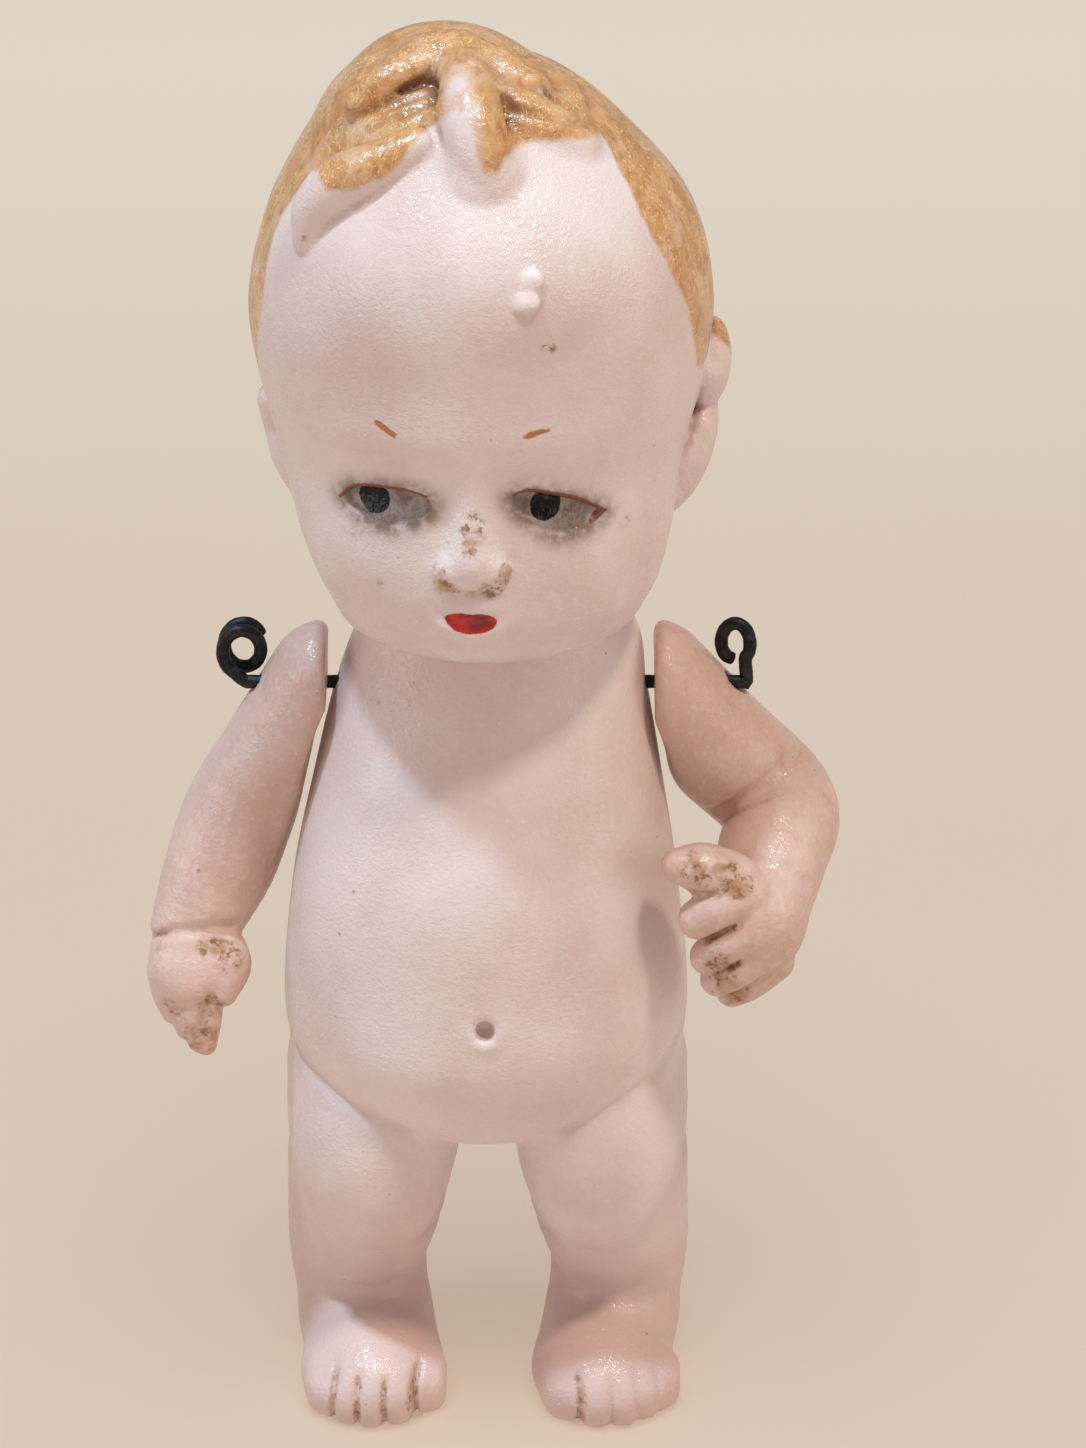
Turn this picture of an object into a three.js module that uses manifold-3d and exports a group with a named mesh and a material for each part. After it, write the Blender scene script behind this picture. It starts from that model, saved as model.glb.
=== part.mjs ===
// A small all-bisque doll. The head, body and legs are one hollow casting. Two loose arms hang on an iron
// wire that runs through both shoulders, and an eye bent at each end of the wire keeps them on.
// Millimetres, +Z up. The doll faces -Y, so its right arm is at -X.

import * as THREE from "three";
import { mergeVertices } from "three/addons/utils/BufferGeometryUtils.js";
import Module from "manifold-3d";

const wasm = await Module();
wasm.setup();

// Lengths up the doll
const LEG_LENGTH = 27; // sole to crotch
const TORSO_LENGTH = 47; // crotch to the base of the neck
const NECK_LENGTH = 2; // base of the neck to the chin
const HEAD_HEIGHT = 51; // chin to crown
const WIRE_DROP = 4.8; // base of the neck down to the shoulder wire

// Level sections. at is the share of the torso's length or the head's height, from below.
// width is the full width, front and back reach from the wire's upright plane, and aside shifts a section
// towards the doll's left where the casting isn't quite true.
const SEAT = { at: -0.045, width: 0, front: 1, back: -1 };
const BELLY_FOLD = { at: 0.015, width: 20, front: 9.5, back: 8.5 };
const HIPS = { at: 0.085, width: 33, front: 14, back: 13 };
const BELLY = { at: 0.25, width: 36.8, front: 17.2, back: 13.4 };
const WAIST = { at: 0.52, width: 34.6, front: 16.2, back: 11.6 };
const CHEST = { at: 0.74, width: 30.8, front: 13.4, back: 11, aside: 0.3 };
const SHOULDERS = { at: 0.9, width: 27.6, front: 10.6, back: 10.6, aside: 0.6 };
const NECK = { at: 1.02, width: 24.4, front: 8.6, back: 10, aside: 1.1 };
const NECK_TOP = { at: 1.16, width: 16, front: 7, back: 8 };
const NECK_PLUG = { at: 1.2, width: 0, front: -1, back: 1 };
const TORSO = [SEAT, BELLY_FOLD, HIPS, BELLY, WAIST, CHEST, SHOULDERS, NECK, NECK_TOP, NECK_PLUG];

const CHIN = { at: -0.012, width: 0, front: 7, back: -7 };
const JAW = { at: 0.022, width: 21.5, front: 14.8, back: 5, aside: 0.4 };
const MOUTH = { at: 0.085, width: 28.2, front: 17.4, back: 10.5, aside: 0.6 };
const CHEEKS = { at: 0.18, width: 32, front: 18.2, back: 15, aside: 0.3 };
const EYES = { at: 0.31, width: 34.6, front: 18, back: 17.6 };
const BROW = { at: 0.44, width: 37.8, front: 19.4, back: 19.2 };
const FOREHEAD = { at: 0.57, width: 39.2, front: 20, back: 19.8 };
const HAIRLINE = { at: 0.715, width: 35.8, front: 18.2, back: 18.8 };
const CROWN_EDGE = { at: 0.83, width: 28, front: 14.4, back: 15.8, aside: -0.8 };
const CROWN_RING = { at: 0.93, width: 18, front: 9.2, back: 11, aside: -2.2 };
const CROWN = { at: 1, width: 0, front: -1, back: 1, aside: -3.6 };
const HEAD = [CHIN, JAW, MOUTH, CHEEKS, EYES, BROW, FOREHEAD, HAIRLINE, CROWN_EDGE, CROWN_RING, CROWN];

// Casting
const WALL = 2.4; // thickness of the bisque
const NAVEL_DIAMETER = 2.4;
const NAVEL_DEPTH = 0.9;
const NAVEL_LEVEL = 0.33; // share of the torso's length

// Face and ears. Levels are shares of the head's height.
const FACE_ASIDE = -0.65; // the face's middle line, from the doll's
const NOSE = { level: 0.222, width: 5, height: 4.8, reach: 2.1 };
const LIPS = { level: 0.118, width: 5.4, height: 2.8, reach: 0.9 };
const CHIN_BUTTON = { level: 0.05, width: 7.4, height: 5, reach: 0.8 };
const EYE_SOCKET = { level: 0.305, width: 8.6, height: 4.4, depth: 0.7, apart: 14.4 };
const RIGHT_EAR = { level: 0.29, height: 12.5, depth: 7.5, thickness: 4, behind: 3, stand: 0.5, tilt: 14 };
const LEFT_EAR = { level: 0.33, height: 17, depth: 8.5, thickness: 4.6, behind: 3.5, stand: 1.2, tilt: 12 };
const EAR_HOLLOW = { width: 3.8, height: 8, depth: 1.3 };

// Hair locks lie on the head. Each point is a place across the doll, a share of the head's height and a
// lift off the head.
const FORELOCK = {
  radii: [1.7, 2, 2, 1.5],
  path: [[-1.2, 0.96, 0], [-0.4, 0.92, 0.3], [0.1, 0.875, 0.2], [0.35, 0.84, -0.2]],
};
const SIDE_LOCK = {
  radii: [1.5, 2.1, 2.2, 2.1, 1.7],
  path: [[-5, 0.865, -0.7], [-8.4, 0.83, -0.1], [-10.7, 0.803, 0], [-12.8, 0.763, 0], [-13.9, 0.723, -0.4]],
};
const TOP_LOCK = {
  radii: [1.6, 2.1, 2.2, 1.8],
  path: [[-9.6, 0.905, -0.4], [-7.2, 0.94, 0], [-4.6, 0.96, 0], [-2.6, 0.965, -0.3]],
};
const CREST_LOCK = {
  radii: [2, 2.5, 2.2, 1.9],
  path: [[-6.6, 0.95, -1], [-3, 0.965, -1.2], [1.5, 0.95, -1], [4.6, 0.925, -1.2]],
};
const PARTED_LOCK = {
  radii: [1.5, 2, 1.6],
  path: [[2.2, 0.92, -0.7], [5.2, 0.89, -0.6], [8.6, 0.855, -0.9]],
};
const LOCKS = [FORELOCK, SIDE_LOCK, TOP_LOCK, CREST_LOCK, PARTED_LOCK];

// Legs and feet. aside is from the middle of the doll, and forward is from the wire's upright plane.
const THIGH = { aside: 9.9, forward: -0.4, above: 3.5, radius: 8.8 }; // above the crotch
const THIGH_FRONT = { width: 15, depth: 15.5, height: 24, aside: 10.3, forward: 5.4, middle: 26.8 };
const KNEE = { aside: 11.5, forward: 0.8, height: 17.5, radius: 7.4 };
const CALF = { aside: 12.4, forward: -0.4, height: 11.5, radius: 6.6 };
const ANKLE = { aside: 12.1, forward: -0.2, height: 6.2, radius: 6.2 };
const FOOT = { length: 23.5, width: 12.8, height: 10.4, aside: 11.3, forward: 3.4, toe_in: 10 };
const FOOT_BALL = { length: 13.6, width: 13.4, height: 8, aside: 10.9, forward: 8.2, middle: 2.4 };
const SOLE_SINK = 2.2; // how far the foot's round form is cut away to stand flat
const TOE = { length: 5, height: 4.6, sink: 0.3 };
// Toes from the great toe. across is from the foot's middle towards the other foot, ahead is to the front.
const RIGHT_TOES = [
  { across: 5.7, ahead: 7.3, width: 2.7 },
  { across: 3.55, ahead: 8.9, width: 2.8 },
  { across: 1, ahead: 9.4, width: 2.8 },
  { across: -1.3, ahead: 8.6, width: 2.5 },
  { across: -3.2, ahead: 6.9, width: 2.4 },
];
const LEFT_TOES = [
  { across: 4.2, ahead: 8.4, width: 3.2 },
  { across: 1.55, ahead: 9.4, width: 2.7 },
  { across: -0.9, ahead: 9.1, width: 2.7 },
  { across: -3.1, ahead: 7.8, width: 2.5 },
  { across: -4.7, ahead: 5.9, width: 2.3 },
];

// Arms. Each runs from the shoulder to the elbow and the wrist. splay leans a stretch away from the body,
// and forward swings it to the front, in degrees from straight down.
const ARM_GAP = 0.6; // from the torso's side to the arm's inner face, kept as the arm turns
const SHOULDER = { rise: 0.2, radius: 5.4 }; // the middle of the round shoulder, above the wire
const UPPER_ARM_RADIUS = 5.3;
const ELBOW_RADIUS = 5.2;
const FOREARM_RADIUS = 4.9;
const WRIST_RADIUS = 3.9;
// inset is from the inner face out to the middle of the shoulder, and back and front are how far the arm
// swings on the wire
const RIGHT_ARM = {
  inset: 0,
  upper: { length: 15, splay: 32.2, forward: -1 },
  fore: { length: 11.6, splay: 23, forward: 20 },
  hand: { splay: -11, forward: 32, turn: -8 },
  swing: { back: 20, front: 105 },
};
const LEFT_ARM = {
  inset: -0.2,
  upper: { length: 17.3, splay: 42.7, forward: -4 },
  fore: { length: 12, splay: -9, forward: 63 },
  hand: { splay: -38, forward: 36, turn: 60 },
  swing: { back: 12, front: 100 },
};
const SWING_STEP = 9; // degrees between the places where the torso is kept clear

// Hands. Each point is across from the thumb's side, along from the wrist towards the fingertips and
// palmward from the middle, with a radius.
const RIGHT_HAND = {
  palm: { across: 0.5, along: 3.3, palmward: -0.3, width: 8.2, thickness: 6.4, length: 9 },
  thumb: [[-1.9, 1.9, -1, 2.2], [-2.6, 4.2, -1.2, 1.9], [-1.5, 6.4, -1, 1.4]],
  forefinger: [[-0.2, 4.6, -0.8, 1.6], [0.2, 7.9, 0.1, 1.4], [0.8, 10.6, 1.3, 1]],
  middle_finger: [[1.3, 5.2, -0.7, 1.6], [1.4, 8.1, 0.3, 1.4], [1.4, 10.2, 1.3, 1]],
  ring_finger: [[2.5, 4.6, -0.5, 1.6], [2.4, 7, 0.4, 1.4], [2.2, 8.9, 1.2, 1.05]],
  little_finger: [[3.4, 3.6, 0, 1.5], [3.4, 5.6, 0.8, 1.35], [3.2, 7.2, 1.5, 1.05]],
};
const LEFT_HAND = {
  palm: { across: -0.8, along: 1.4, palmward: -0.6, width: 10.8, thickness: 6.4, length: 8.8 },
  thumb: [[-4.8, 0.5, -0.8, 2.9], [-7.9, 1.2, -1, 2.3], [-9.9, 2.4, -0.8, 1.5]],
  forefinger: [[-3.3, 0.3, -1.6, 2.2], [-4.6, 2.7, -1.6, 2.1], [-4.9, 4.6, -0.5, 1.8]],
  middle_finger: [[-0.8, 1.8, -1.4, 2.1], [-1.6, 4.4, -1.2, 2], [-1.5, 6.3, 0.1, 1.7]],
  ring_finger: [[1.7, 2.8, -0.9, 2], [1.1, 5.5, -0.4, 1.85], [1, 7.2, 0.9, 1.5]],
  little_finger: [[3.7, 2.7, -0.2, 1.9], [3.5, 5.4, 0.6, 1.7], [3.4, 7, 1.7, 1.35]],
};

// Shoulder wire and its two end eyes
const WIRE_DIAMETER = 1.2;
const BORE_CLEARANCE = 0.3; // round the wire, on the radius
const EYE_STAND = 0.5; // from the arm's outer face to the shaft's bend
// across and up are the half sizes of the eye, rise is its lowest point above the shaft, and shift is its
// middle out from the shaft's bend
const RIGHT_EYE = { across: 1.65, up: 1.9, rise: 0.7, shift: 0.35, turns: 1.6, pitch: 1.8 };
const LEFT_EYE = { across: 1.25, up: 1.85, rise: 1.5, shift: -1, turns: 0.88, pitch: 1.7 };
const EYE_LEAD = 0.12; // share of a turn that the bend into the eye takes up

// Fineness of the round forms
const WIRE_SIDES = 8;
const EYE_STEPS = 14; // for each turn
const SHAFT_STEPS = 6;

// Places that follow from the sizes
const CROTCH_Z = LEG_LENGTH;
const NECK_Z = CROTCH_Z + TORSO_LENGTH;
const CHIN_Z = NECK_Z + NECK_LENGTH;
const WIRE_Z = NECK_Z - WIRE_DROP;
const BORE_RADIUS = WIRE_DIAMETER / 2 + BORE_CLEARANCE;
const RIGHT = -1;
const LEFT = 1;

const radians = THREE.MathUtils.degToRad;

// Solids

// The closed solid of a three.js geometry.
function solid(geometry) {
  const bare = new THREE.BufferGeometry();
  bare.setAttribute("position", geometry.getAttribute("position"));
  bare.setIndex(geometry.index);
  const merged = mergeVertices(bare);
  return new wasm.Manifold(
    new wasm.Mesh({
      numProp: 3,
      vertProperties: new Float32Array(merged.getAttribute("position").array),
      triVerts: new Uint32Array(merged.index.array),
    }),
  );
}

// A named mesh of a finished solid.
function meshOf(name, body, material) {
  const made = body.getMesh();
  const geometry = new THREE.BufferGeometry();
  geometry.setAttribute("position", new THREE.BufferAttribute(made.vertProperties, 3));
  geometry.setIndex(new THREE.BufferAttribute(made.triVerts, 1));
  geometry.computeVertexNormals();
  const mesh = new THREE.Mesh(geometry, material);
  mesh.name = name;
  return mesh;
}

const join = (bodies) => bodies.reduce((whole, next) => whole.add(next));

// An ellipsoid of full sizes, turned about its own middle and then moved there.
function ellipsoid(middle, sizes, turn = new THREE.Matrix4(), around = 12, along = 8) {
  const geometry = new THREE.SphereGeometry(0.5, around, along);
  geometry.scale(...sizes);
  geometry.applyMatrix4(turn);
  geometry.translate(...middle);
  return solid(geometry);
}

// A round bar along X.
function crossBar(radius, length, y, z) {
  const geometry = new THREE.CylinderGeometry(radius, radius, length, 12);
  geometry.rotateZ(Math.PI / 2);
  geometry.translate(0, y, z);
  return solid(geometry);
}

function box(sizes, middle) {
  const geometry = new THREE.BoxGeometry(...sizes);
  geometry.translate(...middle);
  return solid(geometry);
}

// Level sections as two smooth curves, one for the half width and front, one for the shift aside and back.
function sectionCurves(sections, base, length, inset = 0) {
  const inward = (reach) => Math.max(reach - inset, 0);
  const half = (s) => (s.width ? inward(s.width / 2) : 0);
  const height = (s, i) => {
    const end = i === 0 ? inset : i === sections.length - 1 ? -inset : 0;
    return base + s.at * length + end;
  };
  const front = sections.map(
    (s, i) => new THREE.Vector3(half(s), s.width ? -inward(s.front) : -s.front, height(s, i)),
  );
  const back = sections.map(
    (s, i) => new THREE.Vector3(s.aside ?? 0, s.width ? inward(s.back) : s.back, height(s, i)),
  );
  const smooth = (points) => new THREE.CatmullRomCurve3(points, false, "catmullrom", 0.5);
  return { front: smooth(front), back: smooth(back) };
}

// A form through level sections, each an ellipse. It closes on a point at both ends.
function loft(curves, around, along, turn = new THREE.Matrix4()) {
  const geometry = new THREE.SphereGeometry(1, around, along);
  const position = geometry.getAttribute("position");
  for (let row = 0; row <= along; row++) {
    const t = 1 - row / along;
    const near = curves.front.getPoint(t);
    const far = curves.back.getPoint(t);
    for (let column = 0; column <= around; column++) {
      const angle = (2 * Math.PI * column) / around;
      const x = far.x + near.x * Math.cos(angle);
      const y = (near.y + far.y) / 2 + ((far.y - near.y) / 2) * Math.sin(angle);
      position.setXYZ(row * (around + 1) + column, x, y, near.z);
    }
  }
  geometry.applyMatrix4(turn);
  return solid(geometry);
}

// The middle, half width and half depth of a loft at a height.
function sectionAt(curves, z) {
  let low = 0;
  let high = 1;
  for (let step = 0; step < 40; step++) {
    const middle = (low + high) / 2;
    if (curves.front.getPoint(middle).z < z) low = middle;
    else high = middle;
  }
  const near = curves.front.getPoint(low);
  const far = curves.back.getPoint(low);
  return { aside: far.x, middle: (near.y + far.y) / 2, half: near.x, depth: (far.y - near.y) / 2 };
}

// The point on a loft's front at a place across it and a height, lifted off the surface by lift.
function onFront(curves, x, z, lift = 0) {
  const { aside, middle, half, depth } = sectionAt(curves, z);
  const cosine = (x - aside) / half;
  const sine = Math.sqrt(Math.max(0, 1 - cosine ** 2));
  return new THREE.Vector3(x + lift * cosine, middle - (depth + lift) * sine, z);
}

// A tapering tube with round ends through points, each with its own radius.
function limb(points, radii, around = 16, along = 12, cap = 4) {
  const centres = new THREE.CatmullRomCurve3(points, false, "catmullrom", 0.5);
  const sizes = new THREE.CatmullRomCurve3(
    radii.map((radius) => new THREE.Vector3(radius, 0, 0)),
    false,
    "catmullrom",
    0.5,
  );
  const frames = centres.computeFrenetFrames(along);
  const rings = [];
  for (let step = 0; step <= along; step++) {
    const u = step / along;
    const radius = sizes.getPoint(centres.getUtoTmapping(u)).x;
    rings.push({ at: centres.getPointAt(u), radius, reach: 0, step });
  }
  const dome = (ring, side) =>
    Array.from({ length: cap }, (_, i) => {
      const angle = ((i + 1) / cap) * (Math.PI / 2);
      const reach = side * ring.radius * Math.sin(angle);
      return { ...ring, radius: ring.radius * Math.cos(angle), reach };
    });
  const rows = [...dome(rings[0], -1).reverse(), ...rings, ...dome(rings[along], 1)];
  const geometry = new THREE.SphereGeometry(1, around, rows.length - 1);
  const position = geometry.getAttribute("position");
  rows.forEach((row, index) => {
    for (let column = 0; column <= around; column++) {
      const angle = (2 * Math.PI * column) / around;
      const point = row.at
        .clone()
        .addScaledVector(frames.tangents[row.step], row.reach)
        .addScaledVector(frames.normals[row.step], row.radius * Math.cos(angle))
        .addScaledVector(frames.binormals[row.step], -row.radius * Math.sin(angle));
      position.setXYZ(index * (around + 1) + column, ...point.toArray());
    }
  });
  return solid(geometry);
}

// Body casting

const torsoCurves = sectionCurves(TORSO, CROTCH_Z, TORSO_LENGTH);
const headCurves = sectionCurves(HEAD, CHIN_Z, HEAD_HEIGHT);
const headLevel = (share) => CHIN_Z + share * HEAD_HEIGHT;

function faceForm({ level, width, height, reach }) {
  const seat = onFront(headCurves, FACE_ASIDE, headLevel(level));
  return ellipsoid([seat.x, seat.y, seat.z], [width, 2 * reach, height]);
}

function eyeSocket(side) {
  const { level, width, height, depth, apart } = EYE_SOCKET;
  const seat = onFront(headCurves, (side * apart) / 2, headLevel(level));
  const slant = Math.asin(seat.x / sectionAt(headCurves, seat.z).half);
  return ellipsoid(seat.toArray(), [width, 2 * depth, height], new THREE.Matrix4().makeRotationZ(slant));
}

// An ear stands off the side of the head, hollowed from the front.
function ear(side) {
  const { level, height, depth, thickness, behind, stand, tilt } = side === LEFT ? LEFT_EAR : RIGHT_EAR;
  const z = headLevel(level);
  const head = sectionAt(headCurves, z);
  const x = head.half * Math.sqrt(1 - ((behind - head.middle) / head.depth) ** 2) + stand;
  const turn = new THREE.Matrix4().makeRotationY(side * radians(tilt));
  const shell = ellipsoid([head.aside + side * x, behind, z], [thickness, depth, height], turn);
  const hollowAt = [head.aside + side * (x + thickness / 2), behind - depth / 4, z];
  const hollowSizes = [2 * EAR_HOLLOW.depth, EAR_HOLLOW.width, EAR_HOLLOW.height];
  return shell.subtract(ellipsoid(hollowAt, hollowSizes, turn));
}

function hairLock({ path, radii }) {
  const points = path.map(([x, share, lift]) => onFront(headCurves, x, headLevel(share), lift));
  return limb(points, radii, 8, 7, 2);
}

function leg(side) {
  const place = ({ aside, forward }, z) => new THREE.Vector3(side * aside, -forward, z);
  const points = [
    place(THIGH, CROTCH_Z + THIGH.above),
    place(KNEE, KNEE.height),
    place(CALF, CALF.height),
    place(ANKLE, ANKLE.height),
  ];
  const radii = [THIGH, KNEE, CALF, ANKLE].map((stretch) => stretch.radius);
  return { points, radii };
}

// The full front of a thigh, from under the belly down to the knee.
function thighFront(side) {
  const { width, depth, height, aside, forward, middle } = THIGH_FRONT;
  return ellipsoid([side * aside, -forward, middle], [width, depth, height], undefined, 18, 12);
}

// A foot is a rounded form with its toes round the front, still to be cut flat underneath.
function foot(side) {
  const middle = new THREE.Vector3(side * FOOT.aside, -FOOT.forward, FOOT.height / 2 - SOLE_SINK);
  const turn = new THREE.Matrix4().makeRotationZ(-side * radians(FOOT.toe_in));
  const pieces = [ellipsoid(middle.toArray(), [FOOT.width, FOOT.length, FOOT.height], turn, 16, 8)];
  const ball = [side * FOOT_BALL.aside, -FOOT_BALL.forward, FOOT_BALL.middle];
  const ballSizes = [FOOT_BALL.width, FOOT_BALL.length, FOOT_BALL.height];
  pieces.push(ellipsoid(ball, ballSizes, turn, 14, 8));
  const toes = side === LEFT ? LEFT_TOES : RIGHT_TOES;
  toes.forEach(({ across, ahead, width }) => {
    const seat = middle.clone().add(new THREE.Vector3(-side * across, -ahead, 0));
    seat.setZ(TOE.height / 2 - TOE.sink);
    pieces.push(ellipsoid(seat.toArray(), [width, TOE.length, TOE.height], turn, 8, 6));
  });
  return join(pieces);
}

// The hollow follows the outside at the thickness of the wall, from the head down into the legs.
function hollow() {
  const inside = (sections, base, length) => loft(sectionCurves(sections, base, length, WALL), 14, 11);
  const legs = [RIGHT, LEFT].map((side) => {
    const { points, radii } = leg(side);
    return limb(points, radii.map((radius) => radius - WALL), 10, 6, 2);
  });
  return join([inside(TORSO, CROTCH_Z, TORSO_LENGTH), inside(HEAD, CHIN_Z, HEAD_HEIGHT), ...legs]);
}

function bodyCasting(material) {
  const sides = [RIGHT, LEFT];
  const legs = sides.map((side) => limb(...Object.values(leg(side)), 16, 9, 3));
  const forms = [
    loft(torsoCurves, 26, 18),
    loft(headCurves, 30, 22),
    ...legs,
    ...sides.map(thighFront),
    ...sides.map(foot),
    ...sides.map(ear),
    ...LOCKS.map(hairLock),
    ...[NOSE, LIPS, CHIN_BUTTON].map(faceForm),
  ];
  const navelSeat = onFront(torsoCurves, 0, CROTCH_Z + NAVEL_LEVEL * TORSO_LENGTH);
  const navel = ellipsoid(navelSeat.toArray(), [NAVEL_DIAMETER, 2 * NAVEL_DEPTH, NAVEL_DIAMETER]);
  const ground = box([4 * FOOT.length, 4 * FOOT.length, FOOT.length], [0, 0, -FOOT.length / 2]);
  const bore = crossBar(BORE_RADIUS, SHOULDERS.width + 4 * WALL, 0, WIRE_Z);
  const cuts = [...sides.map(eyeSocket), navel, ground, hollow(), bore];
  return meshOf("body_casting", join(forms).subtract(join(cuts)), material);
}

// Arms

const torsoAtWire = sectionAt(torsoCurves, WIRE_Z);
const armFace = (side) => torsoAtWire.aside + side * (torsoAtWire.half + ARM_GAP);

// The torso and the gap round it, as they lie about an arm that swings back and to the front.
function sweptTorso(side, { back, front }) {
  const kept = sectionCurves(TORSO, CROTCH_Z, TORSO_LENGTH, -ARM_GAP);
  const steps = Math.ceil((back + front) / SWING_STEP);
  const seat = new THREE.Matrix4().makeTranslation(-armFace(side), 0, -WIRE_Z);
  const places = Array.from({ length: steps + 1 }, (_, i) => {
    const angle = THREE.MathUtils.lerp(-back, front, i / steps);
    return loft(kept, 22, 14, new THREE.Matrix4().makeRotationX(radians(angle)).multiply(seat));
  });
  return join(places);
}

// A stretch of an arm, as a step away from where it starts.
function stretch(side, { length, splay, forward }) {
  const out = radians(splay);
  const ahead = radians(forward);
  return new THREE.Vector3(
    side * length * Math.sin(out),
    -length * Math.cos(out) * Math.sin(ahead),
    -length * Math.cos(out) * Math.cos(ahead),
  );
}

// The palm, fingers and thumb, with the thumb towards the body.
function hand(side, wrist, { splay, forward, turn }) {
  const ahead = stretch(side, { length: 1, splay, forward });
  const dip = radians(turn);
  const across = new THREE.Vector3(side * Math.cos(dip), 0, -Math.sin(dip));
  across.addScaledVector(ahead, -across.dot(ahead)).normalize();
  const upright = new THREE.Vector3().crossVectors(ahead, across);
  const basis = new THREE.Matrix4().makeBasis(across, upright, ahead);
  const place = (aside, along, palmward) =>
    wrist
      .clone()
      .addScaledVector(across, aside)
      .addScaledVector(ahead, along)
      .addScaledVector(upright, -side * palmward);
  const { palm, ...digits } = side === LEFT ? LEFT_HAND : RIGHT_HAND;
  const palmSeat = place(palm.across, palm.along, palm.palmward).toArray();
  const palmForm = ellipsoid(palmSeat, [palm.width, palm.thickness, palm.length], basis);
  const digitForms = Object.values(digits).map((rows) => {
    const points = rows.map(([aside, along, palmward]) => place(aside, along, palmward));
    return limb(points, rows.map((row) => row[3]), 8, 5, 2);
  });
  return join([palmForm, ...digitForms]);
}

// An arm about the place where the wire enters its inner face. outer is how far out the wire runs in it.
function armSolid(side, shape) {
  const shoulder = new THREE.Vector3(side * shape.inset, 0, SHOULDER.rise);
  const elbow = shoulder.clone().add(stretch(side, shape.upper));
  const wrist = elbow.clone().add(stretch(side, shape.fore));
  const points = [
    shoulder,
    shoulder.clone().lerp(elbow, 0.5),
    elbow,
    elbow.clone().lerp(wrist, 0.5),
    wrist,
  ];
  const radii = [SHOULDER.radius, UPPER_ARM_RADIUS, ELBOW_RADIUS, FOREARM_RADIUS, WRIST_RADIUS];
  const reach = 2 * (shape.upper.length + shape.fore.length);
  const inside = box([reach, reach, 2 * reach], [(-side * reach) / 2, 0, 0]);
  const faced = limb(points, radii, 16, 13, 4).subtract(sweptTorso(side, shape.swing).add(inside));
  const run = faced.intersect(crossBar(WIRE_DIAMETER / 2, reach, 0, 0)).boundingBox();
  const outer = side === LEFT ? run.max[0] : -run.min[0];
  const bored = faced.subtract(crossBar(BORE_RADIUS, reach, 0, 0));
  return { body: bored.add(hand(side, wrist, shape.hand)), outer };
}

function arm(name, side, body, material) {
  const mesh = meshOf(name, body, material);
  mesh.position.set(armFace(side), 0, WIRE_Z);
  return mesh;
}

// Shoulder wire

// An eye at one end of the wire, bent up from the shaft and stepping back with each turn.
function eyePoints(side, end, { across, up, rise, shift, turns, pitch }) {
  const count = Math.round(turns * EYE_STEPS);
  return Array.from({ length: count + 1 }, (_, i) => {
    const turn = EYE_LEAD + i / EYE_STEPS;
    const angle = 2 * Math.PI * turn;
    return new THREE.Vector3(
      end + side * (shift + across * Math.sin(angle)),
      pitch * turn,
      WIRE_Z + rise + up * (1 - Math.cos(angle)),
    );
  });
}

// The least gap between two lengths of the wire that aren't next to each other.
function leastGap(curve, samples) {
  const points = curve.getSpacedPoints(samples);
  const spacing = curve.getLength() / samples;
  const apart = Math.ceil((Math.PI * WIRE_DIAMETER) / spacing);
  let least = Infinity;
  points.forEach((point, i) => {
    for (let j = i + apart; j < points.length; j++) least = Math.min(least, point.distanceTo(points[j]));
  });
  return least - WIRE_DIAMETER;
}

function shoulderWire(rightOuter, leftOuter, material) {
  const rightEnd = armFace(RIGHT) - rightOuter - EYE_STAND;
  const leftEnd = armFace(LEFT) + leftOuter + EYE_STAND;
  const rightEye = eyePoints(RIGHT, rightEnd, RIGHT_EYE).reverse();
  const leftEye = eyePoints(LEFT, leftEnd, LEFT_EYE);
  const straight = { length: SHAFT_STEPS + 1 };
  const along = (_, i) => THREE.MathUtils.lerp(rightEnd + EYE_STAND, leftEnd - EYE_STAND, i / SHAFT_STEPS);
  const places = [rightEnd, ...Array.from(straight, along), leftEnd];
  const shaft = places.map((x) => new THREE.Vector3(x, 0, WIRE_Z));
  const route = new THREE.CatmullRomCurve3([...rightEye, ...shaft, ...leftEye], false, "centripetal");
  const section = new THREE.Shape().absarc(0, 0, WIRE_DIAMETER / 2, 0, 2 * Math.PI);
  const steps = Math.round(route.getLength() / WIRE_DIAMETER);
  const geometry = new THREE.ExtrudeGeometry(section, {
    steps,
    curveSegments: WIRE_SIDES / 2,
    extrudePath: route,
    bevelEnabled: false,
  });
  console.log(`shoulder wire: least gap to itself ${leastGap(route, 400).toFixed(2)} mm`);
  return meshOf("shoulder_wire", solid(geometry), material);
}

// Assembly

const bisque = new THREE.MeshStandardMaterial({ color: 0xd9bfb6, roughness: 0.55, metalness: 0 });
const armBisque = new THREE.MeshStandardMaterial({ color: 0xd8b5a8, roughness: 0.5, metalness: 0 });
const iron = new THREE.MeshStandardMaterial({ color: 0x1f2022, roughness: 0.45, metalness: 0.8 });

const rightArm = armSolid(RIGHT, RIGHT_ARM);
const leftArm = armSolid(LEFT, LEFT_ARM);
const doll = new THREE.Group();
doll.add(
  bodyCasting(bisque),
  arm("right_arm", RIGHT, rightArm.body, armBisque),
  arm("left_arm", LEFT, leftArm.body, armBisque),
  shoulderWire(rightArm.outer, leftArm.outer, iron),
);

// The origin is under the middle of the doll's box, on the surface it stands on.
const bounds = new THREE.Box3().setFromObject(doll, true);
const centre = bounds.getCenter(new THREE.Vector3());
doll.position.set(-centre.x, -centre.y, -bounds.min.z);

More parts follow.
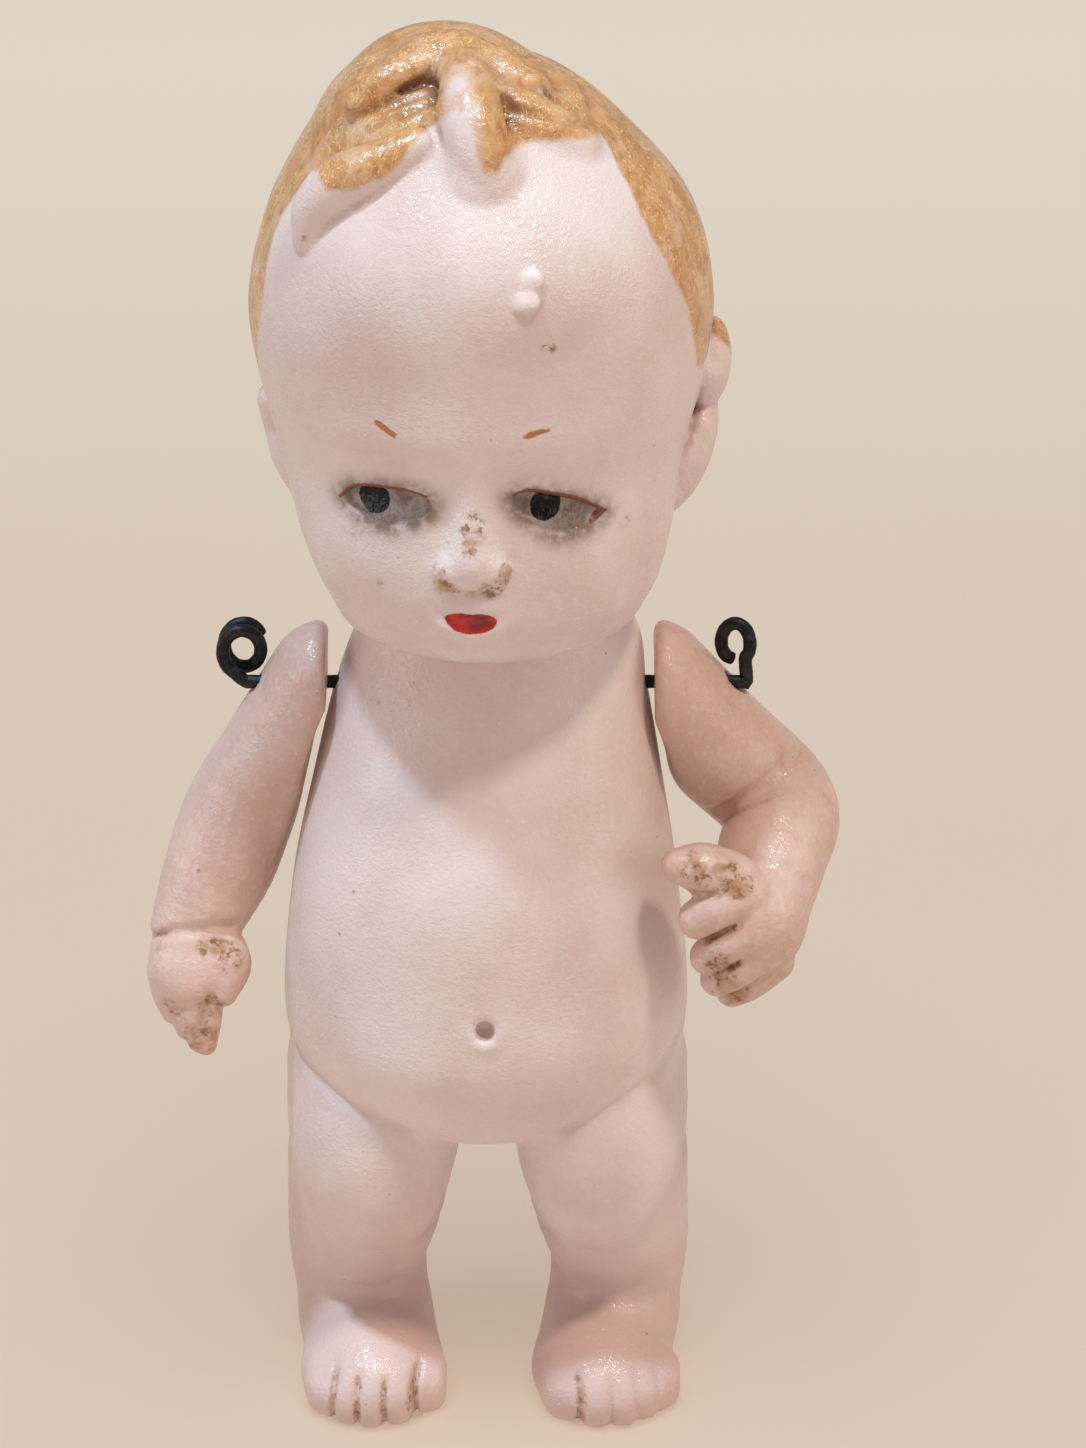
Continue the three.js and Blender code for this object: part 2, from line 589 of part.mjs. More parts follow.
const part = new THREE.Group();
part.add(doll);
const wireAxis = new THREE.Vector3(0, 0, WIRE_Z).add(doll.position);
console.log(`wire axis at ${wireAxis.toArray().map((v) => v.toFixed(3)).join(", ")}`);

export default part;
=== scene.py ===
"""A small all-bisque doll: one casting, two loose arms and the iron wire that they hang on.

The shapes are worked out in millimetres in the doll's own frame, where the wire lies along X at y 0 and
the doll faces -Y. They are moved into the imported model's frame when a mesh is made.
"""
import math

import bmesh
import bpy
import numpy as np
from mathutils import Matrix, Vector


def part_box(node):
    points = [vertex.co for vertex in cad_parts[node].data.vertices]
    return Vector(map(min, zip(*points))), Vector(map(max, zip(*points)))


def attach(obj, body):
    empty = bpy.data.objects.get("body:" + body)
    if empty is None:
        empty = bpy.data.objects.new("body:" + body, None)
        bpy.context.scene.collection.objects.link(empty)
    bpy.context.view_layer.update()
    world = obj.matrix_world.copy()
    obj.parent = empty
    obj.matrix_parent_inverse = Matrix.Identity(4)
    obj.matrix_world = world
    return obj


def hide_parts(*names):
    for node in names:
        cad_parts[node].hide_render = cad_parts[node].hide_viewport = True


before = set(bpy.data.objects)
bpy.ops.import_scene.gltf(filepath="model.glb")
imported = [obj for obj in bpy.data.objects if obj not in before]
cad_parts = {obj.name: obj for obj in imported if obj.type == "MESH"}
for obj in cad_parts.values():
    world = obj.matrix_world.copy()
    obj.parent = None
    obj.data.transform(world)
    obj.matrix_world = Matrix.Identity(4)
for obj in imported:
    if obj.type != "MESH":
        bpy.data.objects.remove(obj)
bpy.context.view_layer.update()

MM = 0.001
SHIFT = np.array([-0.720, 0.261, 0.0])  # from the doll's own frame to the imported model's, mm

# Sizes, mm

CROTCH_Z, TORSO_LENGTH = 27.0, 47.0
CHIN_Z, HEAD_HEIGHT = 76.0, 51.0
WIRE_Z = 69.2
BORE_RADIUS = 0.9
WIRE_RADIUS = 0.6
RIGHT, LEFT = -1, 1

# Level sections: share of the length, full width, reach to the front and to the back, shift to the left
TORSO = [
    (-0.045, 0, 1, -1, 0),
    (0.015, 20, 9.5, 8.5, 0),
    (0.085, 33, 14, 13, 0),
    (0.25, 36.8, 17.2, 13.4, 0),
    (0.52, 34.6, 16.2, 11.6, 0),
    (0.74, 30.8, 13.4, 11, 0.3),
    (0.9, 27.6, 10.6, 10.6, 0.6),
    (1.02, 24.4, 8.6, 10, 1.1),
    (1.16, 16, 7, 8, 0),
    (1.2, 0, -1, 1, 0),
]
HEAD = [
    (-0.012, 0, 7, -7, 0),
    (0.022, 21.5, 14.8, 5, 0.4),
    (0.085, 28.2, 17.4, 10.5, 0.6),
    (0.18, 32, 18.2, 15, 0.3),
    (0.31, 34.6, 18, 17.6, 0),
    (0.44, 37.8, 19.4, 19.2, 0),
    (0.57, 39.2, 20, 19.8, 0),
    (0.715, 35.8, 18.2, 18.8, 0),
    (0.83, 28, 14.4, 15.8, -0.8),
    (0.93, 18, 9.2, 11, -2.2),
    (1, 0, -1, 1, -3.6),
]

# Signed distances


def spline(points, count):
    """Points along the smooth curve through the given ones."""
    points = np.asarray(points, float)
    held = np.vstack([2 * points[0] - points[1], points, 2 * points[-1] - points[-2]])
    at = np.linspace(0, len(points) - 1, count)
    i = np.minimum(at.astype(int), len(points) - 2)
    f = (at - i)[:, None]
    a, b, c, d = held[i], held[i + 1], held[i + 2], held[i + 3]
    return b + 0.5 * f * (c - a + f * (2 * a - 5 * b + 4 * c - d + f * (3 * (b - c) + d - a)))


def ring(points, per_point=6):
    """A smooth closed outline through points."""
    points = np.asarray(points, float)
    wrapped = np.vstack([points[-2:], points, points[:3]])
    curve = spline(wrapped, (len(wrapped) - 1) * per_point + 1)
    return curve[2 * per_point : (2 + len(points)) * per_point]


def rounded(a, b, k):
    """The lesser of two distances, blended over k."""
    h = np.clip(0.5 + 0.5 * (b - a) / k, 0, 1)
    return b + (a - b) * h - k * h * (1 - h)


def step_between(low, high, value):
    t = np.clip((value - low) / (high - low), 0, 1)
    return t * t * (3 - 2 * t)


def soft(distance, width):
    """1 on a line or at a spot, and less away from it."""
    return np.exp(-((distance / width) ** 2))


class Loft:
    """A form through level elliptical sections."""

    def __init__(self, sections, base, length):
        rows = [(w / 2, -f, aside, b, base + at * length) for at, w, f, b, aside in sections]
        self.columns = spline(rows, 60 * len(rows)).T
        self.z = np.maximum.accumulate(self.columns[4])
        reach = np.abs(self.columns[:4]).max() + 4
        self.low = np.array([-reach, -reach, self.z[0]])
        self.high = np.array([reach, reach, self.z[-1]])

    def section(self, z):
        half, near, aside, far = (np.interp(z, self.z, c) for c in self.columns[:4])
        return aside, (near + far) / 2, np.maximum(half, 0.3), np.maximum((far - near) / 2, 0.3)

    def level(self, p, z):
        aside, middle, half, depth = self.section(z)
        x, y = (p[:, 0] - aside) / half, (p[:, 1] - middle) / depth
        q, g = np.hypot(x, y), np.hypot(x / half, y / depth)
        return (q - 1) * np.where(q > 1e-6, q / np.maximum(g, 1e-9), np.minimum(half, depth))

    def __call__(self, p):
        z = p[:, 2]
        h = 0.3
        slope = (self.level(p, z + h) - self.level(p, z - h)) / (2 * h)
        d = self.level(p, z) / np.sqrt(1 + slope**2)
        past = np.maximum(z - self.z[-1], 0) + np.maximum(self.z[0] - z, 0)
        return np.where(past > 0, np.hypot(np.maximum(d, 0), past), d)

    def on_front(self, x, z, lift=0.0):
        """The point on the front at a place across and a height, lifted off the surface."""
        aside, middle, half, depth = (float(v) for v in self.section(z))
        cosine = (x - aside) / half
        sine = math.sqrt(max(0, 1 - cosine**2))
        return np.array([x + lift * cosine, middle - (depth + lift) * sine, z])

    def around(self, degrees, z, lift=0.0):
        """The point at an angle round from the front, towards the left, and a height."""
        aside, middle, half, depth = (float(v) for v in self.section(z))
        turn = math.radians(degrees)
        return np.array([aside + (half + lift) * math.sin(turn), middle - (depth + lift) * math.cos(turn), z])


class Chain:
    """A tube with round ends along a smooth curve, with a radius at each point."""

    def __init__(self, points, radii, count=None):
        rows = np.column_stack([np.array(points, float), np.broadcast_to(radii, len(points))])
        self.rows = spline(rows, count or 4 * len(rows)) if len(rows) > 2 else rows
        spots, reach = self.rows[:, :3], self.rows[:, 3:]
        self.low, self.high = (spots - reach).min(0), (spots + reach).max(0)

    def __call__(self, p):
        best = np.full(len(p), np.inf)
        for a, b in zip(self.rows[:-1], self.rows[1:]):
            along = b[:3] - a[:3]
            t = np.clip((p - a[:3]) @ along / max(along @ along, 1e-9), 0, 1)
            gap = np.linalg.norm(p - a[:3] - t[:, None] * along, axis=1)
            best = np.minimum(best, gap - a[3] - (b[3] - a[3]) * t)
        return best


class Ellipsoid:
    """An ellipsoid of full sizes, turned by a matrix whose columns are its axes."""

    def __init__(self, middle, sizes, turn=None):
        self.middle, self.half = np.array(middle, float), np.array(sizes, float) / 2
        self.turn = np.eye(3) if turn is None else turn
        reach = np.sqrt((self.turn**2) @ (self.half**2))
        self.low, self.high = self.middle - reach, self.middle + reach

    def __call__(self, p):
        q = (p - self.middle) @ self.turn
        near = np.linalg.norm(q / self.half, axis=1)
        steep = np.linalg.norm(q / self.half**2, axis=1)
        return (near - 1) * np.where(near > 1e-6, near / np.maximum(steep, 1e-9), self.half.min())


class Everywhere:
    """A form given by a function of the points, with no box of its own."""

    low, high = np.full(3, -1e3), np.full(3, 1e3)

    def __init__(self, distance):
        self.distance = distance

    def __call__(self, p):
        return self.distance(p)


class Shape:
    """A solid built up in steps, each of which touches only the points near it."""

    MARGIN = 3.2  # how far from a form its step still counts

    def __init__(self):
        self.steps = []

    def _near(self, form, p, more):
        return np.all((p > form.low - more) & (p < form.high + more), axis=1)

    def add(self, form, k=0.5):
        def step(p, d):
            at = self._near(form, p, self.MARGIN + k)
            d[at] = rounded(d[at], form(p[at]), k)

        self.steps.append(step)

    def cut(self, form, k=0.2):
        def step(p, d):
            at = self._near(form, p, self.MARGIN + k)
            d[at] = -rounded(-d[at], form(p[at]), k)

        self.steps.append(step)

    def press(self, points, depth, width):
        """A soft groove along a curve, or a swelling where depth is below zero."""
        form = Chain(points if len(points) > 1 else [points[0], points[0]], 0.0)

        def step(p, d):
            at = self._near(form, p, 3 * width)
            d[at] += depth * soft(form(p[at]), width)

        self.steps.append(step)

    def change(self, step):
        self.steps.append(step)

    def __call__(self, p):
        d = np.full(len(p), 40.0)
        for step in self.steps:
            step(p, d)
        return d


def inside_by(x, z, outline):
    """How far a point is inside a closed outline in the plane, below zero outside it."""
    best = np.full(len(x), np.inf)
    odd = np.zeros(len(x), bool)
    for (ax, az), (bx, bz) in zip(outline, np.roll(outline, -1, 0)):
        ex, ez = bx - ax, bz - az
        t = np.clip(((x - ax) * ex + (z - az) * ez) / max(ex * ex + ez * ez, 1e-12), 0, 1)
        best = np.minimum(best, np.hypot(x - ax - t * ex, z - az - t * ez))
        odd ^= ((az > z) != (bz > z)) & (x < ex * (z - az) / (ez if ez else 1e-9) + ax)
    return np.where(odd, best, -best)


def turned(axis, degrees):
    c, s = math.cos(math.radians(degrees)), math.sin(math.radians(degrees))
    if axis == "X":
        return np.array([[1, 0, 0], [0, c, -s], [0, s, c]])
    if axis == "Y":
        return np.array([[c, 0, s], [0, 1, 0], [-s, 0, c]])
    return np.array([[c, -s, 0], [s, c, 0], [0, 0, 1]])


# The casting

head = Loft(HEAD, CHIN_Z, HEAD_HEIGHT)
torso = Loft(TORSO, CROTCH_Z, TORSO_LENGTH)

# Outlines on the face, across and up
FACE_ASIDE = -0.65
RIGHT_EYE = [
    (-11.1, 91.5), (-10.4, 92.3), (-9.4, 92.7), (-7.5, 92.9), (-6, 92.9), (-4.5, 92.6), (-3.9, 91.9),
    (-4.5, 90.9), (-5.6, 90.3), (-7.1, 89.9), (-9.1, 90), (-10.6, 90.8),
]
LEFT_EYE = [
    (2.7, 92.4), (3.3, 93), (4.4, 93), (6.1, 92.5), (7.9, 91.8), (9.4, 91), (10, 90.3), (8.7, 89.6),
    (7.1, 89.3), (5.6, 89.7), (4.1, 90.7), (3.1, 91.6),
]
LIPS = [
    (-2.9, 82.35), (-2.3, 82.8), (-1.5, 83), (-0.8, 82.85), (0, 82.95), (0.8, 82.75), (1.45, 82.25),
    (1, 81.5), (0.2, 81.15), (-0.8, 81), (-1.8, 81.2), (-2.5, 81.7),
]
EYES = [ring(RIGHT_EYE), ring(LEFT_EYE)]
EYE_LIDS = [
    [(-11.5, 91.4), (-10.4, 92.5), (-9.4, 92.9), (-7.5, 93.1), (-6, 93.1), (-4.3, 92.7)],
    [(2.7, 92.9), (3.6, 93.25), (4.6, 93.2), (6.2, 92.7), (8, 92), (10.3, 90.5)],
]

# The nose: back, up and radius down its bridge, and each wing's place aside, back and up, and its full sizes
NOSE_BRIDGE = [(-16.9, 92.2, 1.2), (-17.5, 89.6, 1.35), (-18, 87.6, 1.65), (-17.9, 86.7, 1.65)]
NOSE_WING, NOSE_WING_SIZES = (1.9, -17.6, 86.4), (2.2, 2.3, 2.0)
NOSTRILS = (-2.2, 0.9)
# Soft grooves of the face, and swellings where the depth is below zero:
# the path across and up, its lift off the head, depth, width
FACE_LINES = [
    # muzzle, upper lip, lower lip, the parting of the lips, the groove under them and the chin
    ([(-0.7, 82.2)], 0, -0.35, 3.4),
    ([(-2.1, 83.3), (0.7, 83.2)], 0.4, -0.25, 0.7),
    ([(-2.9, 81.7), (-1.9, 80.9), (-0.7, 80.6), (0.6, 80.9), (1.6, 81.6)], 0.4, -0.6, 0.55),
    ([(-2.8, 82.3), (-1.6, 82.1), (-0.7, 82.2), (0.2, 82), (1.4, 82.2)], 0.5, 0.4, 0.4),
    ([(-2.2, 80), (0.8, 80)], 0, 0.3, 0.8),
    ([(-2, 79), (0.6, 79)], 0.2, -0.6, 1.4),
    # the full forehead, the hollow below it, and each cheek and the hollow over its eye
    ([(-8, 110.4), (-0.5, 110.8), (7, 110.4)], 0, -0.65, 4.6),
    ([(-9, 102.2), (-0.5, 102.4), (8, 102.2)], 0, 0.6, 4.2),
    ([(-9.5, 85.5)], 0, -0.3, 4.5),
    ([(-4.5, 92.4), (-10, 92.2)], 0, 0.4, 2.4),
    ([(9.5, 85.5)], 0, -0.3, 4.5),
    ([(3.5, 92.4), (9, 92.2)], 0, 0.4, 2.4),
]

# The ears: the right one's rim as points and radii, the left one's lobes as places, full sizes and lean,
# and their grooves and ridges as points, depth, width
RIGHT_RIM = [(-18.1, 3, 94.5, 1.45), (-17.6, 3, 91.6, 1.3), (-16.9, 2.8, 89, 1.4),
             (-15.9, 2.6, 86.6, 1.1)]
LEFT_LOBES = [((17.8, 2.6, 89.7), (3.7, 7.4, 11.4), 20), ((19.3, 3, 97.8), (4.2, 6.4, 8.2), 5)]
EAR_LINES = [
    ([(-19.2, 1.6, 91.6), (-18, 1.2, 91.8)], 0.3, 0.5),
    ([(18.4, -0.6, 94), (19.8, 0.2, 94), (21, 2.4, 94)], 0.5, 0.5),
    ([(18.9, -0.8, 92), (18.2, -0.9, 89.6), (17.2, -0.8, 87.2)], 0.75, 0.8),
    ([(20, 0.6, 92.2), (19.2, 0.2, 89.4), (17.8, 0.4, 86.8)], -0.3, 0.5),
    ([(17.4, -1.4, 92.6), (18.6, -1, 91), (17.9, -1.2, 88.8)], -0.35, 0.5),
    ([(19.4, -0.2, 101.2), (19.6, 0, 98.8)], 0.45, 0.5),
]

# Hair locks: across, up, lift off the head, radius
LOCKS = {
    "crest": [(-6.6, 124.4, -1, 2), (-3, 125.2, -1.2, 2.5), (1.5, 124.5, -1, 2.2),
              (4.6, 123.2, -1.2, 1.9)],
    "parted": [(2.2, 122.9, -0.7, 1.5), (5.2, 121.4, -0.6, 1.9), (8.6, 119.6, -0.9, 1.6)],
    "root": [(-1, 121.8, -0.8, 2.3), (0.2, 119.9, -0.9, 2.6), (0.9, 118.3, -1.3, 2.4)],
    "mid": [
        (-1.4, 125.4, -1, 2), (-0.9, 123.8, 0.2, 2.4), (-0.3, 121.8, 0.5, 2.4), (0.2, 120, 0.2, 2.1),
        (0.5, 118.7, -0.2, 1.6),
    ],
    "side": [
        (-5, 120.1, -0.7, 1.6), (-8.4, 118.3, 0, 2.2), (-10.7, 117, 0.2, 2.4),
        (-12.8, 114.9, -0.1, 2.2), (-13.9, 112.7, -0.8, 1.8),
    ],
    "roll": [(-9.6, 122.2, -0.3, 1.5), (-7.2, 123.9, 0.1, 1.8), (-4.6, 125, 0.1, 1.85),
             (-2.6, 125.2, -0.2, 1.5)],
}
LOCK_BLENDS = {"crest": 1.6, "parted": 1.4, "root": 1.2, "mid": 0.9, "side": 0.3, "roll": 0.4}
# Grooves between the locks: points on the head, depth, width
PARTINGS = [
    ([(-8.5, -7, 123.2), (-6.2, -7.4, 123.7), (-3.9, -7, 123.9), (-2.9, -7.9, 123.6)], 0.55, 0.5),
    ([(-2.8, -8.7, 123.6), (-2.9, -10, 122.7), (-2.7, -11.7, 121.5), (-2.2, -12.7, 120.3)], 0.4, 0.5),
    ([(2.2, -9.7, 123.4), (2, -10.6, 122), (2, -12.7, 120.9), (1.7, -14, 119.6)], 0.3, 0.45),
    ([(-12.8, -5.2, 119.6), (-9.9, -8.4, 121.7), (-6.6, -8.7, 122.7), (-3.1, -8.2, 123.9)], 0.35, 0.5),
    ([(-8.9, -9.3, 120.9), (-5.6, -9.8, 122.3), (-2.8, -9, 123.4)], 0.3, 0.45),
    ([(2.7, -10.2, 122.7), (4.9, -10.6, 122.3), (7.1, -10, 121.4), (8.7, -8.1, 121)], 0.4, 0.5),
    ([(3.9, 5.6, 124.1), (6.6, 3, 123.6), (8.5, 0.3, 122.3), (9.4, -5.2, 120.6)], 0.35, 0.6),
    ([(13.2, -1.2, 118.1), (15.8, -5.6, 114.2), (18.1, -5.8, 108.4)], 0.22, 0.7),
]
# Combed grooves: degrees round the head and height, depth
COMBED = [
    ([(28, 125.2), (46, 123.2), (62, 120.6), (70, 115)], 0.25),
    ([(52, 124.6), (70, 120.4), (78, 113.5), (80, 104)], 0.22),
    ([(-34, 124.6), (-58, 121.6), (-72, 117), (-78, 109)], 0.3),
]
# The raised edge in front of the middle lock, across and up
LOCK_RIDGE = [(-1.7, 118.9), (-1.3, 117.9), (0.2, 117.1), (1.8, 117.5), (2.7, 118.6)]
BACK_GROOVES = 17  # wavy grooves down the sides and the back


def face_steps(shape):
    """Nose, mouth, chin, forehead and eyes."""
    bridge = [(FACE_ASIDE, y, z) for y, z, _ in NOSE_BRIDGE]
    shape.add(Chain(bridge, [radius for *_, radius in NOSE_BRIDGE], 10), 1.7)
    aside, back, up = NOSE_WING
    for side in (RIGHT, LEFT):
        shape.add(Ellipsoid((FACE_ASIDE + side * aside, back, up), NOSE_WING_SIZES), 1.3)
        crease = FACE_ASIDE + side * 3.2
        shape.press([(crease, -17.9, 87.6), (crease, -17.8, 85.8)], 0.15, 0.6)
    shape.press([(FACE_ASIDE - 1.6, -18.4, 84.9), (FACE_ASIDE + 1.6, -18.4, 84.9)], 0.3, 0.6)
    for across in NOSTRILS:
        shape.press([(across, -19.0, 85.4)], 0.45, 0.45)
    for path, lift, depth, width in FACE_LINES:
        shape.press([head.on_front(x, z, lift) for x, z in path], depth, width)

    def eyes(p, d):
        at = (p[:, 1] < -8) & (np.abs(p[:, 2] - 91.3) < 5) & (np.abs(p[:, 0]) < 15)
        x, z = p[at, 0], p[at, 2]
        for outline in EYES:
            low, high = outline[:, 1].min(), outline[:, 1].max()
            sunk = 0.15 + 0.7 * np.clip((z - low) / (high - low), 0, 1)
            d[at] += sunk * step_between(-0.12, 0.28, inside_by(x, z, outline))

    shape.change(eyes)
    for lid in EYE_LIDS:
        shape.press([head.on_front(x, z + 0.3, -0.1) for x, z in lid], -0.3, 0.5)


def ear_steps(shape):
    shape.add(Chain([row[:3] for row in RIGHT_RIM], [row[3] for row in RIGHT_RIM]), 0.5)
    for middle, sizes, lean in LEFT_LOBES:
        shape.add(Ellipsoid(middle, sizes, turned("Y", lean)), 0.5)
    for points, depth, width in EAR_LINES:
        shape.press(points, depth, width)


def hair_steps(shape):
    for name, rows in LOCKS.items():
        points = [head.on_front(x, z, lift) for x, z, lift, _ in rows]
        shape.add(Chain(points, [row[3] for row in rows], 16), LOCK_BLENDS[name])
    shape.add(Ellipsoid((-3.0, 1.6, 122.4), (15.0, 15.0, 9.6)), 1.2)
    shape.press([head.on_front(x, z, 0.1) for x, z in LOCK_RIDGE], -0.35, 0.6)
    shape.press([(-14.4, -13.2, 112.6)], 0.9, 0.6)
    for points, depth, width in PARTINGS:
        shape.press(points, depth, width)
    for path, depth in COMBED:
        shape.press([head.around(turn, z, 0.2) for turn, z in path], depth, 0.6)
    for i in range(BACK_GROOVES):
        start = 84 + 12 * i
        heights = np.linspace(121.5 - (i % 3), 92.0 + 1.5 * (i % 4), 8)
        wave = [(start + 5 * math.sin(z / 5.5 + 2.1 * i), z) for z in heights]
        shape.press([head.around(turn, z, 0.1) for turn, z in wave], 0.2, 0.6)


# A leg down its middle: aside, back, up, radius
LEG = [(9.9, 0.4, 30.5, 8.8), (11.5, -0.8, 17.5, 7.4), (12.4, 0.4, 11.5, 6.6), (12.1, 0.2, 6.2, 6.2)]
# The front of the thigh, the foot and its ball: place, full sizes, degrees turned out, blend
LEG_FORMS = [
    ((10.3, -5.4, 26.8), (15, 15.5, 24), 0, 1.8),
    ((11.3, -3.4, 3), (12.8, 23.5, 10.4), 10, 2),
    ((10.9, -8.2, 2.4), (13.4, 13.6, 8), 10, 1.2),
]
# Folds of the knee, the ankle and the hip: points, depth, width
LEG_FOLDS = [
    ([(17.4, -3, 15.8), (14.6, -7.6, 15.4), (11.4, -8.6, 15.2), (8, -7, 15.4),
      (5.8, -4, 15.6)], 0.12, 0.8),
    ([(16.6, -3.6, 8), (12.2, -6.4, 8.6), (7.4, -3.6, 7.4)], 0.12, 0.8),
    ([(18.6, 1, 24.4), (18.4, -2.5, 23.4)], 0.3, 1),
]
# Toes, great toe first: across, front, radius
TOES = {
    RIGHT: [(-5.5, -12.7, 1.6), (-8.2, -14.5, 1.5), (-10.9, -15.1, 1.5), (-13.2, -14.5, 1.4),
            (-15.3, -13, 1.35)],
    LEFT: [(7.1, -13.7, 1.7), (10.2, -15, 1.55), (12.9, -14.8, 1.5), (15.1, -13.6, 1.4),
           (16.7, -12, 1.3)],
}
TOE_LEAN = math.tan(math.radians(10))
# Depths of the grooves between them, their width, and the dirt in them
TOE_GROOVES = {RIGHT: (0.5, 0.45, 0.45, 0.5), LEFT: (0.5, 0.3, 0.24, 0.24)}
TOE_GROOVE_WIDTH = 0.32
TOE_DIRT = {RIGHT: (0.9, 0.6, 0.8, 0.7), LEFT: (0.8, 0.25, 0.15, 0.1)}


def toe_gaps(p, side):
    """For each gap between two toes: how far points are from its upright plane, and its reach there."""
    for (ax, ay, _), (bx, by, _) in zip(TOES[side], TOES[side][1:]):
        x, front = (ax + bx) / 2, (ay + by) / 2
        off = p[:, 0] - x + side * TOE_LEAN * (p[:, 1] - front)
        yield off, step_between(front + 4.6, front + 2.4, p[:, 1]) * step_between(6.0, 4.4, p[:, 2])


def part_toes(p, d):
    at = (p[:, 2] < 6.5) & (p[:, 1] < -6)
    for side in (RIGHT, LEFT):
        for (off, reach), depth in zip(toe_gaps(p[at], side), TOE_GROOVES[side]):
            d[at] += depth * reach * soft(off, TOE_GROOVE_WIDTH)


def leg_steps(shape):
    for side in (RIGHT, LEFT):
        mirror = np.array([side, 1, 1])
        shape.add(Chain([mirror * row[:3] for row in LEG], [row[3] for row in LEG], 14), 1.3)
        for middle, sizes, out, blend in LEG_FORMS:
            shape.add(Ellipsoid(mirror * middle, sizes, turned("Z", -side * out)), blend)
        for x, y, r in TOES[side]:
            shape.add(Chain([(x, y + r + 0.1, 1.4), (x, y + r + 0.3, 2.6), (x, y + r + 1.4, 3.5)], r), 1.2)
        for points, depth, width in LEG_FOLDS:
            shape.press([mirror * point for point in points], depth, width)
    shape.change(part_toes)


BELLY_FOLDS = [
    [(-17.9, -3.4, 36.4), (-16.9, -6.2, 35.2), (-14.1, -10.2, 34.3), (-10.2, -12.4, 32.4),
     (-7, -12.2, 30.8)],
    [(17.5, -5.2, 37.2), (16.2, -7.9, 35.6), (13.4, -10.8, 34), (10.2, -12.4, 32.4), (7, -12.2, 30.8)],
]
# The two beads of the blister: places and full sizes
BLISTER = [
    (head.on_front(4.15, 111.2, 0.64), (2.0, 0.7, 2.0)),
    (head.on_front(3.8, 109.6, 0.62), (2.3, 0.8, 2.2)),
]
# The full upper belly and the flatter lower one: height, depth, width
BELLY_BANDS = [(55, -0.4, 7), (43, 0.4, 6)]
NAVEL = torso.on_front(0.1, 42.9, -0.36)
NAVEL_RIM = [(-1.3, 0.2, 0.2), (-0.9, 0, -1), (0.1, -0.1, -1.4), (1.1, 0, -0.9), (1.4, 0.2, 0.2)]
BORE_START = 9.0  # the wire's holes begin this far aside, inside the wall


def wire_bore(p):
    return np.maximum(np.hypot(p[:, 1], p[:, 2] - WIRE_Z) - BORE_RADIUS, BORE_START - np.abs(p[:, 0]))


def body_shape():
    shape = Shape()
    shape.add(torso, 0.5)
    shape.add(head, 0.8)
    leg_steps(shape)
    face_steps(shape)
    ear_steps(shape)
    hair_steps(shape)
    for height, depth, width in BELLY_BANDS:
        shape.press([torso.on_front(x, height) for x in (-9.0, 0.0, 9.0)], depth, width)
    shape.cut(Ellipsoid(NAVEL + (0, 0.3, 0.1), (1.7, 2.0, 1.9)), 0.6)
    shape.press([NAVEL + step for step in NAVEL_RIM], -0.2, 0.5)
    shape.press([torso.on_front(1.5, 63.9)], -0.2, 0.9)  # the breastbone
    for fold in BELLY_FOLDS:
        shape.press(fold, 0.35, 0.8)
    for middle, sizes in BLISTER:
        shape.add(Ellipsoid(middle, sizes, turned("X", -24)), 0.2)
    shape.cut(Everywhere(lambda p: p[:, 2]), 0.3)  # the flat soles
    shape.cut(Everywhere(wire_bore), 0.15)
    return shape


# The wire

EYE_LEAD = 0.12  # the eye's start, in turns
EYE_STEPS = 14  # points for each turn
WIRE_STATIONS, WIRE_SIDES = 420, 16
WIRE_ENDS = {RIGHT: -21.138, LEFT: 23.246}
# Half sizes across and up, rise of the lowest point above the shaft, shift out, turns, step back a turn
WIRE_EYES = {RIGHT: (1.65, 1.9, 0.7, 0.35, 1.6, 1.8), LEFT: (1.25, 1.85, 1.5, -1.0, 0.88, 1.7)}


def wire_eye(side):
    """Points along the eye at one end of the wire, from the shaft on."""
    across, up, rise, shift, turns, pitch = WIRE_EYES[side]
    turn = EYE_LEAD + np.arange(round(turns * EYE_STEPS) + 1) / EYE_STEPS
    a = 2 * math.pi * turn
    x = WIRE_ENDS[side] + side * (shift + across * np.sin(a))
    return np.column_stack([x, pitch * turn, WIRE_Z + rise + up * (1 - np.cos(a))])


def wire_route():
    inner = np.linspace(WIRE_ENDS[RIGHT] + 0.5, WIRE_ENDS[LEFT] - 0.5, 12)
    xs = np.concatenate([[WIRE_ENDS[RIGHT]], inner, [WIRE_ENDS[LEFT]]])
    shaft = np.column_stack([xs, 0 * xs, 0 * xs + WIRE_Z])
    knots = np.vstack([wire_eye(RIGHT)[::-1], shaft, wire_eye(LEFT)])
    fine = spline(knots, 12 * len(knots))
    length = np.concatenate([[0], np.cumsum(np.linalg.norm(np.diff(fine, axis=0), axis=1))])
    even = np.linspace(0, length[-1], WIRE_STATIONS)
    return np.column_stack([np.interp(even, length, c) for c in fine.T])


# The arms

SHOULDER_RISE = 0.2
ARM_RADII = [5.4, 5.3, 5.2, 4.9, 3.9]
ARM_GAP = 0.6
EYE_GAP = 0.12
